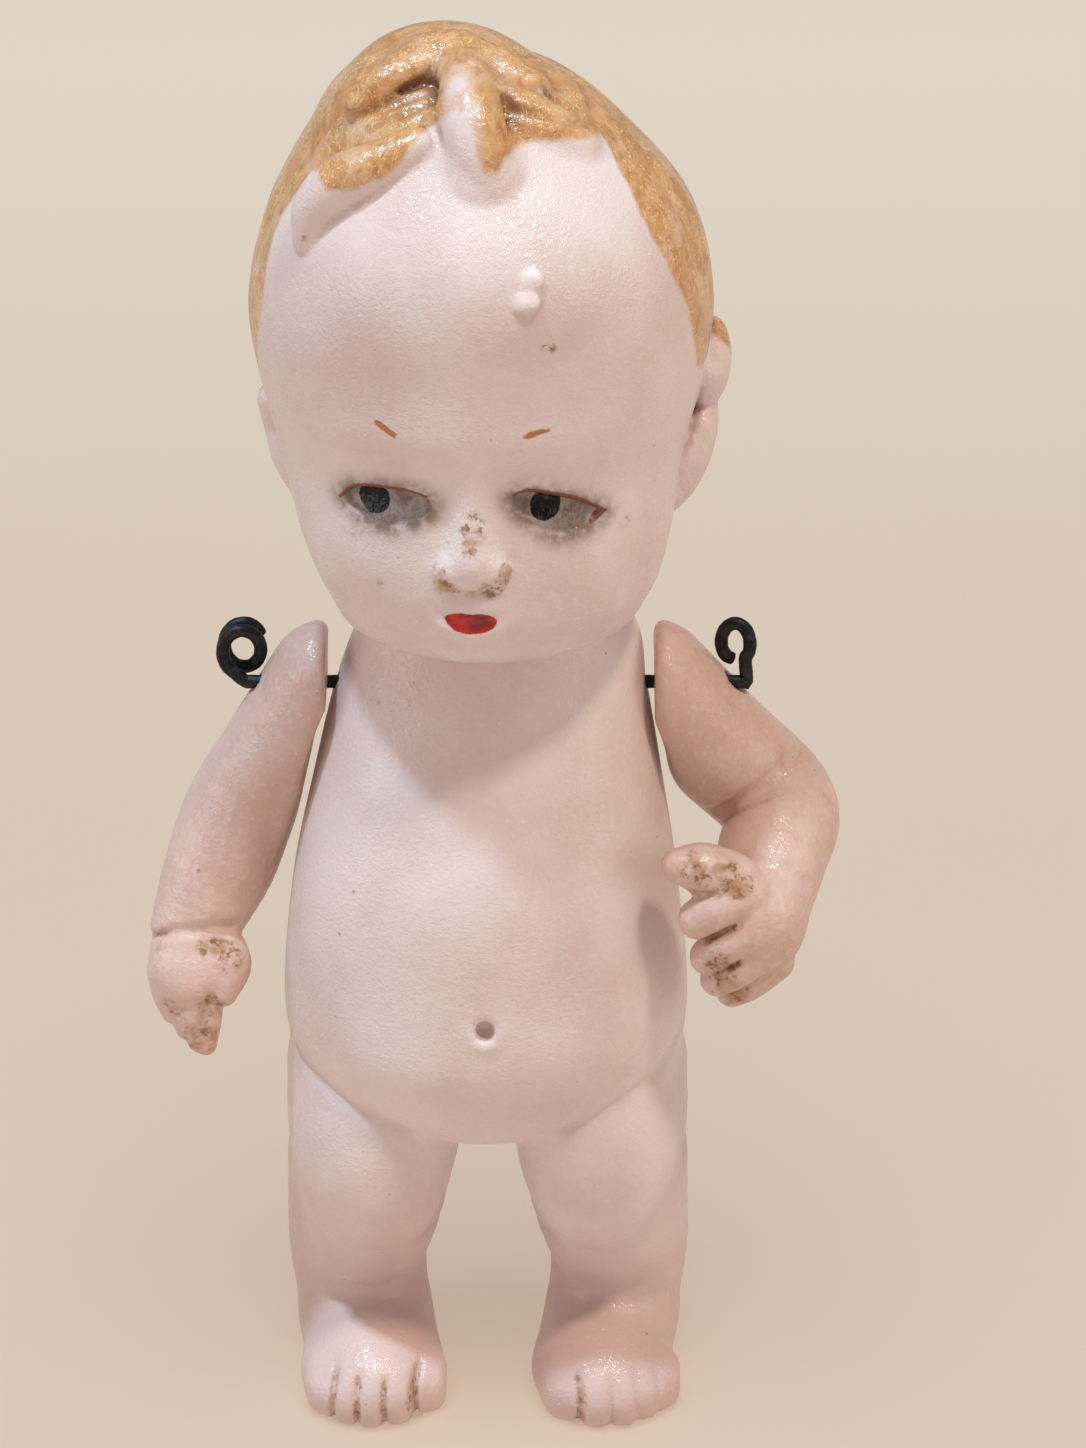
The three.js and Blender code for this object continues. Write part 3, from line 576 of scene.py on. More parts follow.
# Stretches as length, degrees away from the body, degrees to the front.
# The palm as its place and its full sizes.
# The digits, from the forefinger to the thumb, as across, along, towards the palm and radius.
ARMS = {
    RIGHT: {
        "inset": 0.0, "upper": (15.0, 32.2, -1), "fore": (11.6, 23, 20), "hand": (-11, 32), "turn": -8,
        "swing": (-20, 105), "palm": ((0.5, 3.3, -0.3), (8.2, 6.4, 9.0)),
        "digits": [
            [(-0.2, 4.6, -0.8, 1.6), (0.2, 7.9, 0.1, 1.4), (0.8, 10.6, 1.3, 1)],
            [(1.3, 5.2, -0.7, 1.6), (1.4, 8.1, 0.3, 1.4), (1.4, 10.2, 1.3, 1)],
            [(2.5, 4.6, -0.5, 1.6), (2.4, 7, 0.4, 1.4), (2.2, 8.9, 1.2, 1.05)],
            [(3.4, 3.6, 0, 1.5), (3.4, 5.6, 0.8, 1.35), (3.2, 7.2, 1.5, 1.05)],
            [(-1.9, 1.9, -1, 2.2), (-2.6, 4.2, -1.2, 1.9), (-1.5, 6.4, -1, 1.4)],
        ],
    },
    LEFT: {
        "inset": -0.2, "upper": (17.3, 42.7, -4), "fore": (12.0, -9, 63), "hand": (-38, 36), "turn": 60,
        "swing": (-12, 100), "palm": ((-0.8, 1.4, -0.6), (10.8, 6.4, 8.8)),
        "digits": [
            [(-3.3, 0.3, -1.6, 2.2), (-4.6, 2.7, -1.6, 2.1), (-4.9, 4.6, -0.5, 1.8)],
            [(-0.8, 1.8, -1.4, 2.1), (-1.6, 4.4, -1.2, 2), (-1.5, 6.3, 0.1, 1.7)],
            [(1.7, 2.8, -0.9, 2), (1.1, 5.5, -0.4, 1.85), (1, 7.2, 0.9, 1.5)],
            [(3.7, 2.7, -0.2, 1.9), (3.5, 5.4, 0.6, 1.7), (3.4, 7, 1.7, 1.35)],
            [(-4.8, 0.5, -0.8, 2.9), (-7.9, 1.2, -1, 2.3), (-9.9, 2.4, -0.8, 1.5)],
        ],
    },
}
# Folds and seams of the arms: points, depth, width
ARM_FOLDS = {
    RIGHT: [
        ([(-30, -4.3, 46.1), (-27.7, -6.9, 47.8), (-25.8, -7.1, 48.1), (-24.1, -6.7, 48.3),
          (-22.3, -5.5, 48.1)], 0.5, 0.5),
        ([(-22, -4.6, 59.8), (-22.8, -5, 57), (-23.5, -6.1, 53.6), (-24.8, -6.8, 49)], -0.12, 0.28),
        ([(-17.6, -2.4, 58.4), (-20, -4.4, 58), (-22, -4.6, 59.6), (-25.4, -2.4, 62)], 0.15, 0.9),
    ],
    LEFT: [
        ([(28.4, 0.2, 62.6), (26.2, -3.1, 62.2), (24.1, -4.2, 60.6), (22.7, -4.2, 59.8),
          (20.6, -2.4, 57.6)], 0.6, 0.6),
        ([(28.6, -1.4, 60.6), (26, -5, 59.6)], -0.25, 1.2),
        ([(22, -8.4, 56.6), (25, -10.6, 56.4), (28.4, -9.6, 54)], 0.25, 0.7),
    ],
}
# Strength of the dirt in the grooves between the digits, and spots of it on the hands:
# across, along, towards the palm, width, strength
GROOVE_DIRT = {RIGHT: (0.8, 0.6, 0.5, 0.3), LEFT: (0.8, 1.0, 1.0, 0.9)}
HAND_SPOTS = {
    RIGHT: [
        (-2.6, 3.6, -2.9, 1.4, 0.9), (-0.9, 2.4, -2.9, 1.2, 0.8), (-0.4, 6.8, -1.6, 1.4, 0.9),
        (0.9, 9.6, -0.3, 1.3, 1), (1.2, 10.9, 0.3, 1.3, 1), (3, 6.6, -0.6, 1.1, 0.8),
    ],
    LEFT: [
        (-7.2, 0.9, -3.3, 1.8, 1), (-9.6, 1.8, -2.3, 1.4, 0.8), (-5, 0.4, -3.4, 1.2, 0.7),
        (-1.4, 6.4, -1.6, 1.4, 0.9), (1, 7.2, -0.6, 1.5, 1), (3.2, 7, 0.3, 1.4, 0.9),
    ],
}


def arm_face(side):
    aside, _, half, _ = torso.section(WIRE_Z)
    return float(aside + side * (half + ARM_GAP))


def stretch(side, length, splay, forward):
    out, ahead = math.radians(splay), math.radians(forward)
    level = np.array([side * math.tan(out), -math.sin(ahead), -math.cos(ahead)])
    return length * math.cos(out) * level


def torso_side(side):
    """What the arm leaves free: the torso and a gap as the arm swings, and the inside of the arm's face."""
    face = arm_face(side)
    angles = np.radians(np.linspace(*ARMS[side]["swing"], 14))

    def distance(p):
        best = side * (p[:, 0] - face)
        at = best < 6.0
        x, y, z = p[at, 0], p[at, 1], p[at, 2] - WIRE_Z
        for angle in angles:
            c, s = math.cos(angle), math.sin(angle)
            moved = np.column_stack([x, y * c + z * s, WIRE_Z + z * c - y * s])
            best[at] = np.minimum(best[at], torso(moved) - ARM_GAP)
        return best

    return distance


def eye_sweep(side):
    """What the wire's eye passes through in the arm as the arm swings, with a small gap."""
    low, high = np.radians(ARMS[side]["swing"])
    eye = spline(wire_eye(side), 60)
    across, radius = eye[:, 0], np.hypot(eye[:, 1], eye[:, 2] - WIRE_Z)
    angle = np.arctan2(eye[:, 2] - WIRE_Z, eye[:, 1]) + (low + high) / 2

    def distance(p):
        best = np.full(len(p), 9.0)
        at = (p[:, 0] > across.min() - 2) & (p[:, 0] < across.max() + 2)
        x, y, z = p[at, 0], p[at, 1], p[at, 2] - WIRE_Z
        r, turn = np.hypot(y, z), np.arctan2(z, y)
        near = np.full(len(x), np.inf)
        for ex, er, ea in zip(across, radius, angle):
            off = np.abs((turn - ea + math.pi) % (2 * math.pi) - math.pi) - (high - low) / 2
            near = np.minimum(near, np.sqrt((x - ex) ** 2 + (r - er) ** 2 + (r * np.maximum(off, 0)) ** 2))
        best[at] = near - WIRE_RADIUS - EYE_GAP
        return best

    return distance


def arm_shape(side):
    sizes = ARMS[side]
    seat = np.array([arm_face(side), 0, WIRE_Z])
    shoulder = seat + (side * sizes["inset"], 0, SHOULDER_RISE)
    elbow = shoulder + stretch(side, *sizes["upper"])
    wrist = elbow + stretch(side, *sizes["fore"])
    route = [shoulder, (shoulder + elbow) / 2, elbow, (elbow + wrist) / 2, wrist]
    shape = Shape()
    shape.add(Chain(route, ARM_RADII, 22), 0.1)
    shape.cut(Everywhere(torso_side(side)), 1.3)
    shape.cut(Everywhere(lambda p: np.hypot(p[:, 1], p[:, 2] - WIRE_Z) - BORE_RADIUS), 0.25)
    shape.cut(Everywhere(eye_sweep(side)), 0.15)
    # hand
    ahead = stretch(side, 1, *sizes["hand"])
    dip = math.radians(sizes["turn"])
    across = np.array([side * math.cos(dip), 0, -math.sin(dip)])
    across -= ahead * (across @ ahead)
    across /= np.linalg.norm(across)
    upright = np.cross(ahead, across)

    def place(aside, along, palmward=0.0):
        return wrist + aside * across + along * ahead - side * palmward * upright

    seat, full = sizes["palm"]
    shape.add(Ellipsoid(place(*seat), full, np.column_stack([across, upright, ahead])), 0.9)
    rows = [np.array(digit) for digit in sizes["digits"]]
    for digit in rows:
        shape.add(Chain([place(*row[:3]) for row in digit], digit[:, 3], 10), 0.35)
    # the digits' sides towards the back of the hand, where grooves part them
    order = rows[-1:] + rows[:-1] if side == LEFT else rows
    grooves = []
    for a, b in zip(order, order[1:]):
        middle = (a + b) / 2
        grooves.append([place(m[0], m[1], m[2] - 0.6 * m[3]) for m in middle])
    for points, depth, width in ARM_FOLDS[side]:
        shape.press(points, depth, width)
    for points in grooves:
        shape.press(points, 0.32, 0.42)
    return shape, {"place": place, "shoulder": shoulder, "grooves": grooves}


# Meshes


def grid_lines(*stops):
    """Places along an axis: start, spacing, next start, its spacing, ..., end."""
    runs = [np.arange(stops[i], stops[i + 2], stops[i + 1]) for i in range(0, len(stops) - 2, 2)]
    return np.concatenate(runs + [[stops[-1]]])


BLOCK = 4


def sample(shape, axes):
    """The shape's distance on the grid. Blocks that the surface doesn't reach get one value each."""
    counts = [len(a) for a in axes]
    blocks = [np.arange(0, n, BLOCK) for n in counts]
    centres = [np.array([a[i : i + BLOCK + 1].mean() for i in s]) for a, s in zip(axes, blocks)]
    reach = 0.5 * BLOCK * math.sqrt(sum(np.diff(a).max() ** 2 for a in axes)) + 0.9
    rough = shape(np.stack(np.meshgrid(*centres, indexing="ij"), -1).reshape(-1, 3))
    rough = rough.reshape([len(c) for c in centres])
    field = rough.astype(np.float32)
    for axis, n in enumerate(counts):
        field = np.repeat(field, BLOCK, axis)
        field = np.take(field, np.arange(n), axis)
    live = np.argwhere(np.abs(rough) < reach)
    step = np.arange(BLOCK)
    for part in np.array_split(live, max(1, len(live) // 4000)):
        index = [np.minimum(part[:, k, None] * BLOCK + step, counts[k] - 1) for k in range(3)]
        i = index[0][:, :, None, None] + 0 * index[1][:, None, :, None] + 0 * index[2][:, None, None, :]
        j = index[1][:, None, :, None] + 0 * i
        k = index[2][:, None, None, :] + 0 * i
        i, j, k = i.ravel(), j.ravel(), k.ravel()
        field[i, j, k] = shape(np.column_stack([axes[0][i], axes[1][j], axes[2][k]]))
    return field


CORNERS = np.array([(a, b, c) for a in (0, 1) for b in (0, 1) for c in (0, 1)])
EDGES = [(a, b) for a in range(8) for b in range(a + 1, 8) if np.abs(CORNERS[a] - CORNERS[b]).sum() == 1]


def skin(shape, axes):
    """A mesh of quads on the shape's surface: one point in each cell that the surface crosses."""
    field = sample(shape, axes)
    inside = field < 0
    n = np.array(field.shape) - 1
    total = sum(inside[a : a + n[0], b : b + n[1], c : c + n[2]].astype(np.int8) for a, b, c in CORNERS)
    cells = np.argwhere((total > 0) & (total < 8))
    number = np.full(n, -1, np.int64)
    number[tuple(cells.T)] = np.arange(len(cells))
    values = np.stack([field[tuple((cells + c).T)] for c in CORNERS], 1).astype(float)
    places = [np.stack([axes[k][cells[:, k] + c[k]] for c in CORNERS], 1) for k in range(3)]
    spots = np.stack(places, 2)
    total, count = np.zeros((len(cells), 3)), np.zeros(len(cells))
    for a, b in EDGES:
        crossed = (values[:, a] < 0) != (values[:, b] < 0)
        t = values[crossed, a] / (values[crossed, a] - values[crossed, b])
        total[crossed] += spots[crossed, a] + t[:, None] * (spots[crossed, b] - spots[crossed, a])
        count[crossed] += 1
    points = total / count[:, None]
    quads = []
    for axis in range(3):
        u, v = (axis + 1) % 3, (axis + 2) % 3
        ends = [slice(None)] * 3
        ends[axis] = slice(0, -1)
        starts = [slice(None)] * 3
        starts[axis] = slice(1, None)
        first, last = inside[tuple(ends)], inside[tuple(starts)]
        at = np.argwhere(first != last)
        at = at[(at[:, u] > 0) & (at[:, v] > 0) & (at[:, u] < n[u]) & (at[:, v] < n[v])]
        du, dv = np.eye(3, dtype=int)[u], np.eye(3, dtype=int)[v]
        quad = np.stack([number[tuple((at - s).T)] for s in (0 * du, du, du + dv, dv)], 1)
        flip = ~first[tuple(at.T)]
        quad[flip] = quad[flip, ::-1]
        quads.append(quad)
    return points, np.concatenate(quads)


def gradient(shape, p, h=0.06):
    steps = np.eye(3) * h
    return np.stack([(shape(p + s) - shape(p - s)) / (2 * h) for s in steps], 1)


def settle(shape, points, rounds=2, most=0.18):
    """Points moved onto the shape's surface, and the surface's direction there."""
    for _ in range(rounds):
        slope = gradient(shape, points)
        size = np.maximum((slope**2).sum(1), 0.2)
        move = -(shape(points) / size)[:, None] * slope
        far = np.linalg.norm(move, axis=1)
        points = points + move * np.minimum(1, most / np.maximum(far, 1e-9))[:, None]
    slope = gradient(shape, points)
    return points, slope / np.maximum(np.linalg.norm(slope, axis=1), 1e-9)[:, None]


def cavity(shape, points, normals):
    """How deep a point lies in a fold, from 0 to 1."""
    total = np.zeros(len(points))
    for reach in (0.5, 1.0, 2.0):
        total += np.clip(1 - shape(points + reach * normals) / reach, 0, 1)
    return total / 3


def make_piece(name, points, quads, attributes, material, body, node):
    mesh = bpy.data.meshes.new(name)
    mesh.vertices.add(len(points))
    mesh.vertices.foreach_set("co", ((points + SHIFT) * MM).astype(np.float32).ravel())
    mesh.loops.add(quads.size)
    mesh.loops.foreach_set("vertex_index", quads.astype(np.int32).ravel())
    mesh.polygons.add(len(quads))
    mesh.polygons.foreach_set("loop_start", np.arange(0, quads.size, quads.shape[1], dtype=np.int32))
    mesh.update(calc_edges=True)
    mesh.validate()
    mesh.shade_smooth()
    for key, values in attributes.items():
        mesh.attributes.new(key, "FLOAT", "POINT").data.foreach_set("value", values.astype(np.float32))
    mesh.materials.append(material)
    piece = bpy.data.objects.new(name, mesh)
    bpy.context.scene.collection.objects.link(piece)
    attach(piece, body)
    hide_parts(node)
    return piece


# Paint, dirt and painted shade, as distances on the surface

# The hair's edge: degrees round from the front towards the left, and height
HAIRLINE = [
    (-180, 84), (-140, 86), (-114, 90), (-98, 95.5), (-84, 98.5), (-73, 101), (-66, 104.8), (-66, 108.1),
    (-68, 110.7), (-66.5, 113.5), (-62, 116), (-56, 118), (-46, 118.3), (-41, 117.1), (-35, 117.2),
    (-27, 118.4), (-24, 119.4), (-20, 121.2), (-13, 122.5), (-7, 123.4), (-1, 122), (0, 119.8),
    (3, 118.9), (6.5, 119), (8, 120), (16, 120.4), (24, 120.5), (40, 120.3), (58, 119.9), (56, 118.7),
    (53.5, 117.4), (52, 115.7), (51, 114.3), (51.6, 112.4), (54, 110.7), (56.5, 108.6), (60, 106.6),
    (63, 103.4), (68, 100.6), (78, 99.5), (92, 100.5), (104, 95), (116, 90), (140, 86), (180, 84),
    (180, 150), (-180, 150),
]
HAIR_RADIUS = 18.0  # turns those degrees into mm
PUPILS, PUPIL_RADIUS = [(-8.6, 91.75), (5.4, 91.65)], 1.3
LID_RADII = [0.14, 0.24, 0.28, 0.28, 0.24, 0.18]
# The brows and the smear at the left eye's corner, across and up, with their radii
BROWS = [([(-8.15, 99), (-6.75, 98.1)], 0.26), ([(3.85, 98.3), (5.6, 98.75)], [0.3, 0.22])]
EYE_CORNER = ([(9.2, 89.9), (9.9, 90.5)], [0.25, 0.4])
# The rubbed place on the middle lock
WORN = [(-1.6, -9.6, 125.8), (-1.7, -12.2, 124.4), (-1.5, -14.4, 121.6), (-1, -15.6, 119.4)]
WORN_RADII = [0.5, 1.4, 1.5, 1.1]
# the grey round the eyes is partly dirt and partly painted shade of the sunken eyes
SMUDGE_WIDTH = 1.1  # of the grey round the eyes
# Dirt on the face, across, up, width, strength; at the sides of the nose, across and up; and single specks,
# across, back, up, width, strength
FACE_SPOTS = [
    (-2.9, 85.3, 0.8, 1), (-3.2, 86.8, 0.5, 0.8), (0.9, 85.2, 0.9, 1), (2.1, 86.8, 0.6, 0.7),
    (-0.8, 84.7, 0.6, 0.5), (-0.6, 91, 1.3, 0.5), (-0.2, 90, 1.1, 0.5), (-10.6, 88.4, 1, 0.4),
    (-9.2, 89.2, 0.8, 0.35), (6, 88.8, 1.2, 0.35), (12, 89, 0.8, 0.4), (5.67, 105.7, 0.5, 1.2),
    (-8.2, 84.6, 0.6, 0.5), (-4, 90.6, 0.9, 0.5), (-0.7, 88.9, 1, 0.6),
]
NOSE_DIRT = [
    [(-3.3, 87), (-3.4, 86.2), (-2.9, 85.5), (-2, 85.1)],
    [(2.2, 86.8), (2.3, 86.1), (1.7, 85.4), (0.8, 85)],
]
SPECKS = [(-14.2, -12.6, 112.8, 0.5, 1), (-6.2, -8, 72.4, 0.3, 0.9), (-9, -7.1, 70.2, 0.3, 0.8)]


def flat_chain(line, radii=0.0):
    """A painted line, across and up, as a form seen from the front."""
    return Chain([(a, 0, b) for a, b in line], radii)


def body_paint(p, shape, normals):
    count = len(p)
    x, y, z = p.T
    keys = ("hair", "bare", "lips", "pupil", "white", "lid", "brow", "blister")
    paint = {key: np.full(count, -9.0) for key in keys}
    at = z > CHIN_Z
    q = p[at]
    turn = np.degrees(np.arctan2(q[:, 0], -q[:, 1]))
    scale = HAIR_RADIUS * math.pi / 180
    paint["hair"][at] = inside_by(turn * scale, q[:, 2], np.array(HAIRLINE, float) * (scale, 1))
    paint["bare"][at] = -Chain(WORN, WORN_RADII)(q)
    paint["blister"][at] = -np.minimum(*(Ellipsoid(*form)(q) for form in BLISTER))
    face = at & (y < -9)
    u, v = x[face], z[face]
    flat = np.column_stack([u, 0 * u, v])
    lines = [flat_chain(lid, LID_RADII) for lid in EYE_LIDS] + [flat_chain(*EYE_CORNER)]
    paint["lips"][face] = inside_by(u, v, ring(LIPS))
    paint["white"][face] = np.maximum(*(inside_by(u, v, outline) for outline in EYES))
    paint["pupil"][face] = PUPIL_RADIUS - np.minimum(*(np.hypot(u - a, v - b) for a, b in PUPILS))
    paint["lid"][face] = np.maximum.reduce([-form(flat) for form in lines])
    paint["brow"][face] = np.maximum(*(-flat_chain(*brow)(flat) for brow in BROWS))
    smudge, dirt = np.zeros(count), np.zeros(count)
    # grey round the eyes: partly dirt, partly painted shade of the sunken eyes
    smudge[face] = soft(np.minimum(paint["white"][face], 0), SMUDGE_WIDTH)
    for a, b, width, strength in FACE_SPOTS:
        dirt[face] += strength * np.exp(-(((u - a) ** 2 + (v - b) ** 2) / width**2))
    for line in NOSE_DIRT:
        dirt[face] += 0.6 * soft(flat_chain(line)(flat), 0.38)
    for a, b, c, width, strength in SPECKS:
        dirt += strength * np.exp(-(((x - a) ** 2 + (y - b) ** 2 + (z - c) ** 2) / width**2))
    feet = z < 7
    for side in (RIGHT, LEFT):
        for (off, reach), strength in zip(toe_gaps(p[feet], side), TOE_DIRT[side]):
            dirt[feet] += strength * reach * soft(off, 0.45)
    # fold holds how deep each point lies in a fold; the materials paint shade with it
    paint.update(smudge=smudge, dirt=np.clip(dirt, 0, 1), fold=cavity(shape, p, normals))
    return paint


def arm_paint(p, shape, normals, marks, side):
    dirt = np.zeros(len(p))
    place = marks["place"]
    for points, strength in zip(marks["grooves"], GROOVE_DIRT[side]):
        dirt += strength * soft(Chain(points, 0.0)(p), 0.6)
    for *spot_at, width, strength in HAND_SPOTS[side]:
        dirt += strength * soft(np.linalg.norm(p - place(*spot_at), axis=1), width)
    hole = marks["shoulder"] + (side * 7.2, 0, -1.4)
    dirt += 0.4 * soft(np.linalg.norm(p - hole, axis=1), 2.0)
    # fold holds how deep each point lies in a fold; the material paints shade with it
    return {"dirt": np.clip(dirt, 0, 1), "fold": cavity(shape, p, normals)}


# Materials


class Nodes:
    """A material's node tree, with short calls for the nodes used here."""

    def __init__(self, name):
        self.material = bpy.data.materials.new(name)
        self.material.use_nodes = True
        self.tree = self.material.node_tree
        self.shader = self.tree.nodes["Principled BSDF"]
        place = self.add("ShaderNodeTexCoord").outputs["Object"]
        scale = self.add("ShaderNodeVectorMath", operation="SCALE")
        scale.inputs["Scale"].default_value = 1 / MM
        self.link(place, scale.inputs[0])
        self.place = scale.outputs[0]

    def add(self, kind, **settings):
        node = self.tree.nodes.new(kind)
        for key, value in settings.items():
            setattr(node, key, value)
        return node

    def link(self, value, socket):
        if isinstance(value, bpy.types.NodeSocket):
            self.tree.links.new(value, socket)
        else:
            socket.default_value = value

    def attribute(self, name):
        return self.add("ShaderNodeAttribute", attribute_name=name).outputs["Fac"]

    def noise(self, scale, detail=2.0, rough=0.5, vector=None, warp=0.0):
        node = self.add("ShaderNodeTexNoise")
        self.link(self.place if vector is None else vector, node.inputs["Vector"])
        for key, value in (("Scale", scale), ("Detail", detail), ("Roughness", rough), ("Distortion", warp)):
            node.inputs[key].default_value = value
        return node.outputs["Fac"]

    def stretched(self, x, y, z):
        node = self.add("ShaderNodeVectorMath", operation="MULTIPLY")
        self.link(self.place, node.inputs[0])
        node.inputs[1].default_value = (x, y, z)
        return node.outputs[0]

    def math(self, operation, a, b=0.0, c=0.0):
        node = self.add("ShaderNodeMath", operation=operation)
        for value, socket in zip((a, b, c), node.inputs):
            self.link(value, socket)
        return node.outputs[0]

    def times(self, a, b):
        return self.math("MULTIPLY", a, b)

    def shade(self, key, value):
        """Sets or feeds one of the shader's own sockets."""
        self.link(value, self.shader.inputs[key])

    def between(self, value, low, high, start=0.0, end=1.0):
        node = self.add("ShaderNodeMapRange", interpolation_type="SMOOTHSTEP")
        for item, socket in zip((value, low, high, start, end), node.inputs):
            self.link(item, socket)
        return node.outputs[0]

    def patches(self, scale, detail, low, high, start=0.0, end=1.0, rough=0.5):
        """Soft patches: the noise between two levels."""
        return self.between(self.noise(scale, detail, rough), low, high, start, end)

    def edge(self, name, rag, scale, soft=0.06):
        """1 inside a painted outline, whose edge wanders by rag."""
        wander = self.math("MULTIPLY_ADD", self.noise(scale, 3.0), 2 * rag, -rag)
        return self.between(self.math("ADD", self.attribute(name), wander), -soft, soft)

    def mix(self, amount, a, b):
        node = self.add("ShaderNodeMix", data_type="RGBA")
        for value, key in ((amount, 0), (a, 6), (b, 7)):
            self.link((*value, 1.0) if isinstance(value, tuple) else value, node.inputs[key])
        return node.outputs[2]

    def over(self, amount, colour):
        """Lays one more colour over the colour so far."""
        self.colour = self.mix(amount, self.colour, colour)

    def specks(self, scale, size, share):
        """Small round specks in a share of the cells."""
        node = self.add("ShaderNodeTexVoronoi")
        self.link(self.place, node.inputs["Vector"])
        node.inputs["Scale"].default_value = scale
        spot = self.between(node.outputs["Distance"], size, size * 0.5)
        split = self.add("ShaderNodeSeparateColor")
        self.link(node.outputs["Color"], split.inputs[0])
        return self.times(spot, self.math("LESS_THAN", split.outputs[0], share))

    def bump(self, height, strength, distance, normal=None):
        node = self.add("ShaderNodeBump")
        node.inputs["Strength"].default_value = strength
        node.inputs["Distance"].default_value = distance * MM
        self.link(height, node.inputs["Height"])
        if normal is not None:
            self.link(normal, node.inputs["Normal"])
        return node.outputs[0]


def rgb(red, green, blue):
    """A colour as seen on a screen, 0 to 255, as the linear values that shaders take."""
    parts = [v / 255 for v in (red, green, blue)]
    return tuple(v / 12.92 if v <= 0.04045 else ((v + 0.055) / 1.055) ** 2.4 for v in parts)


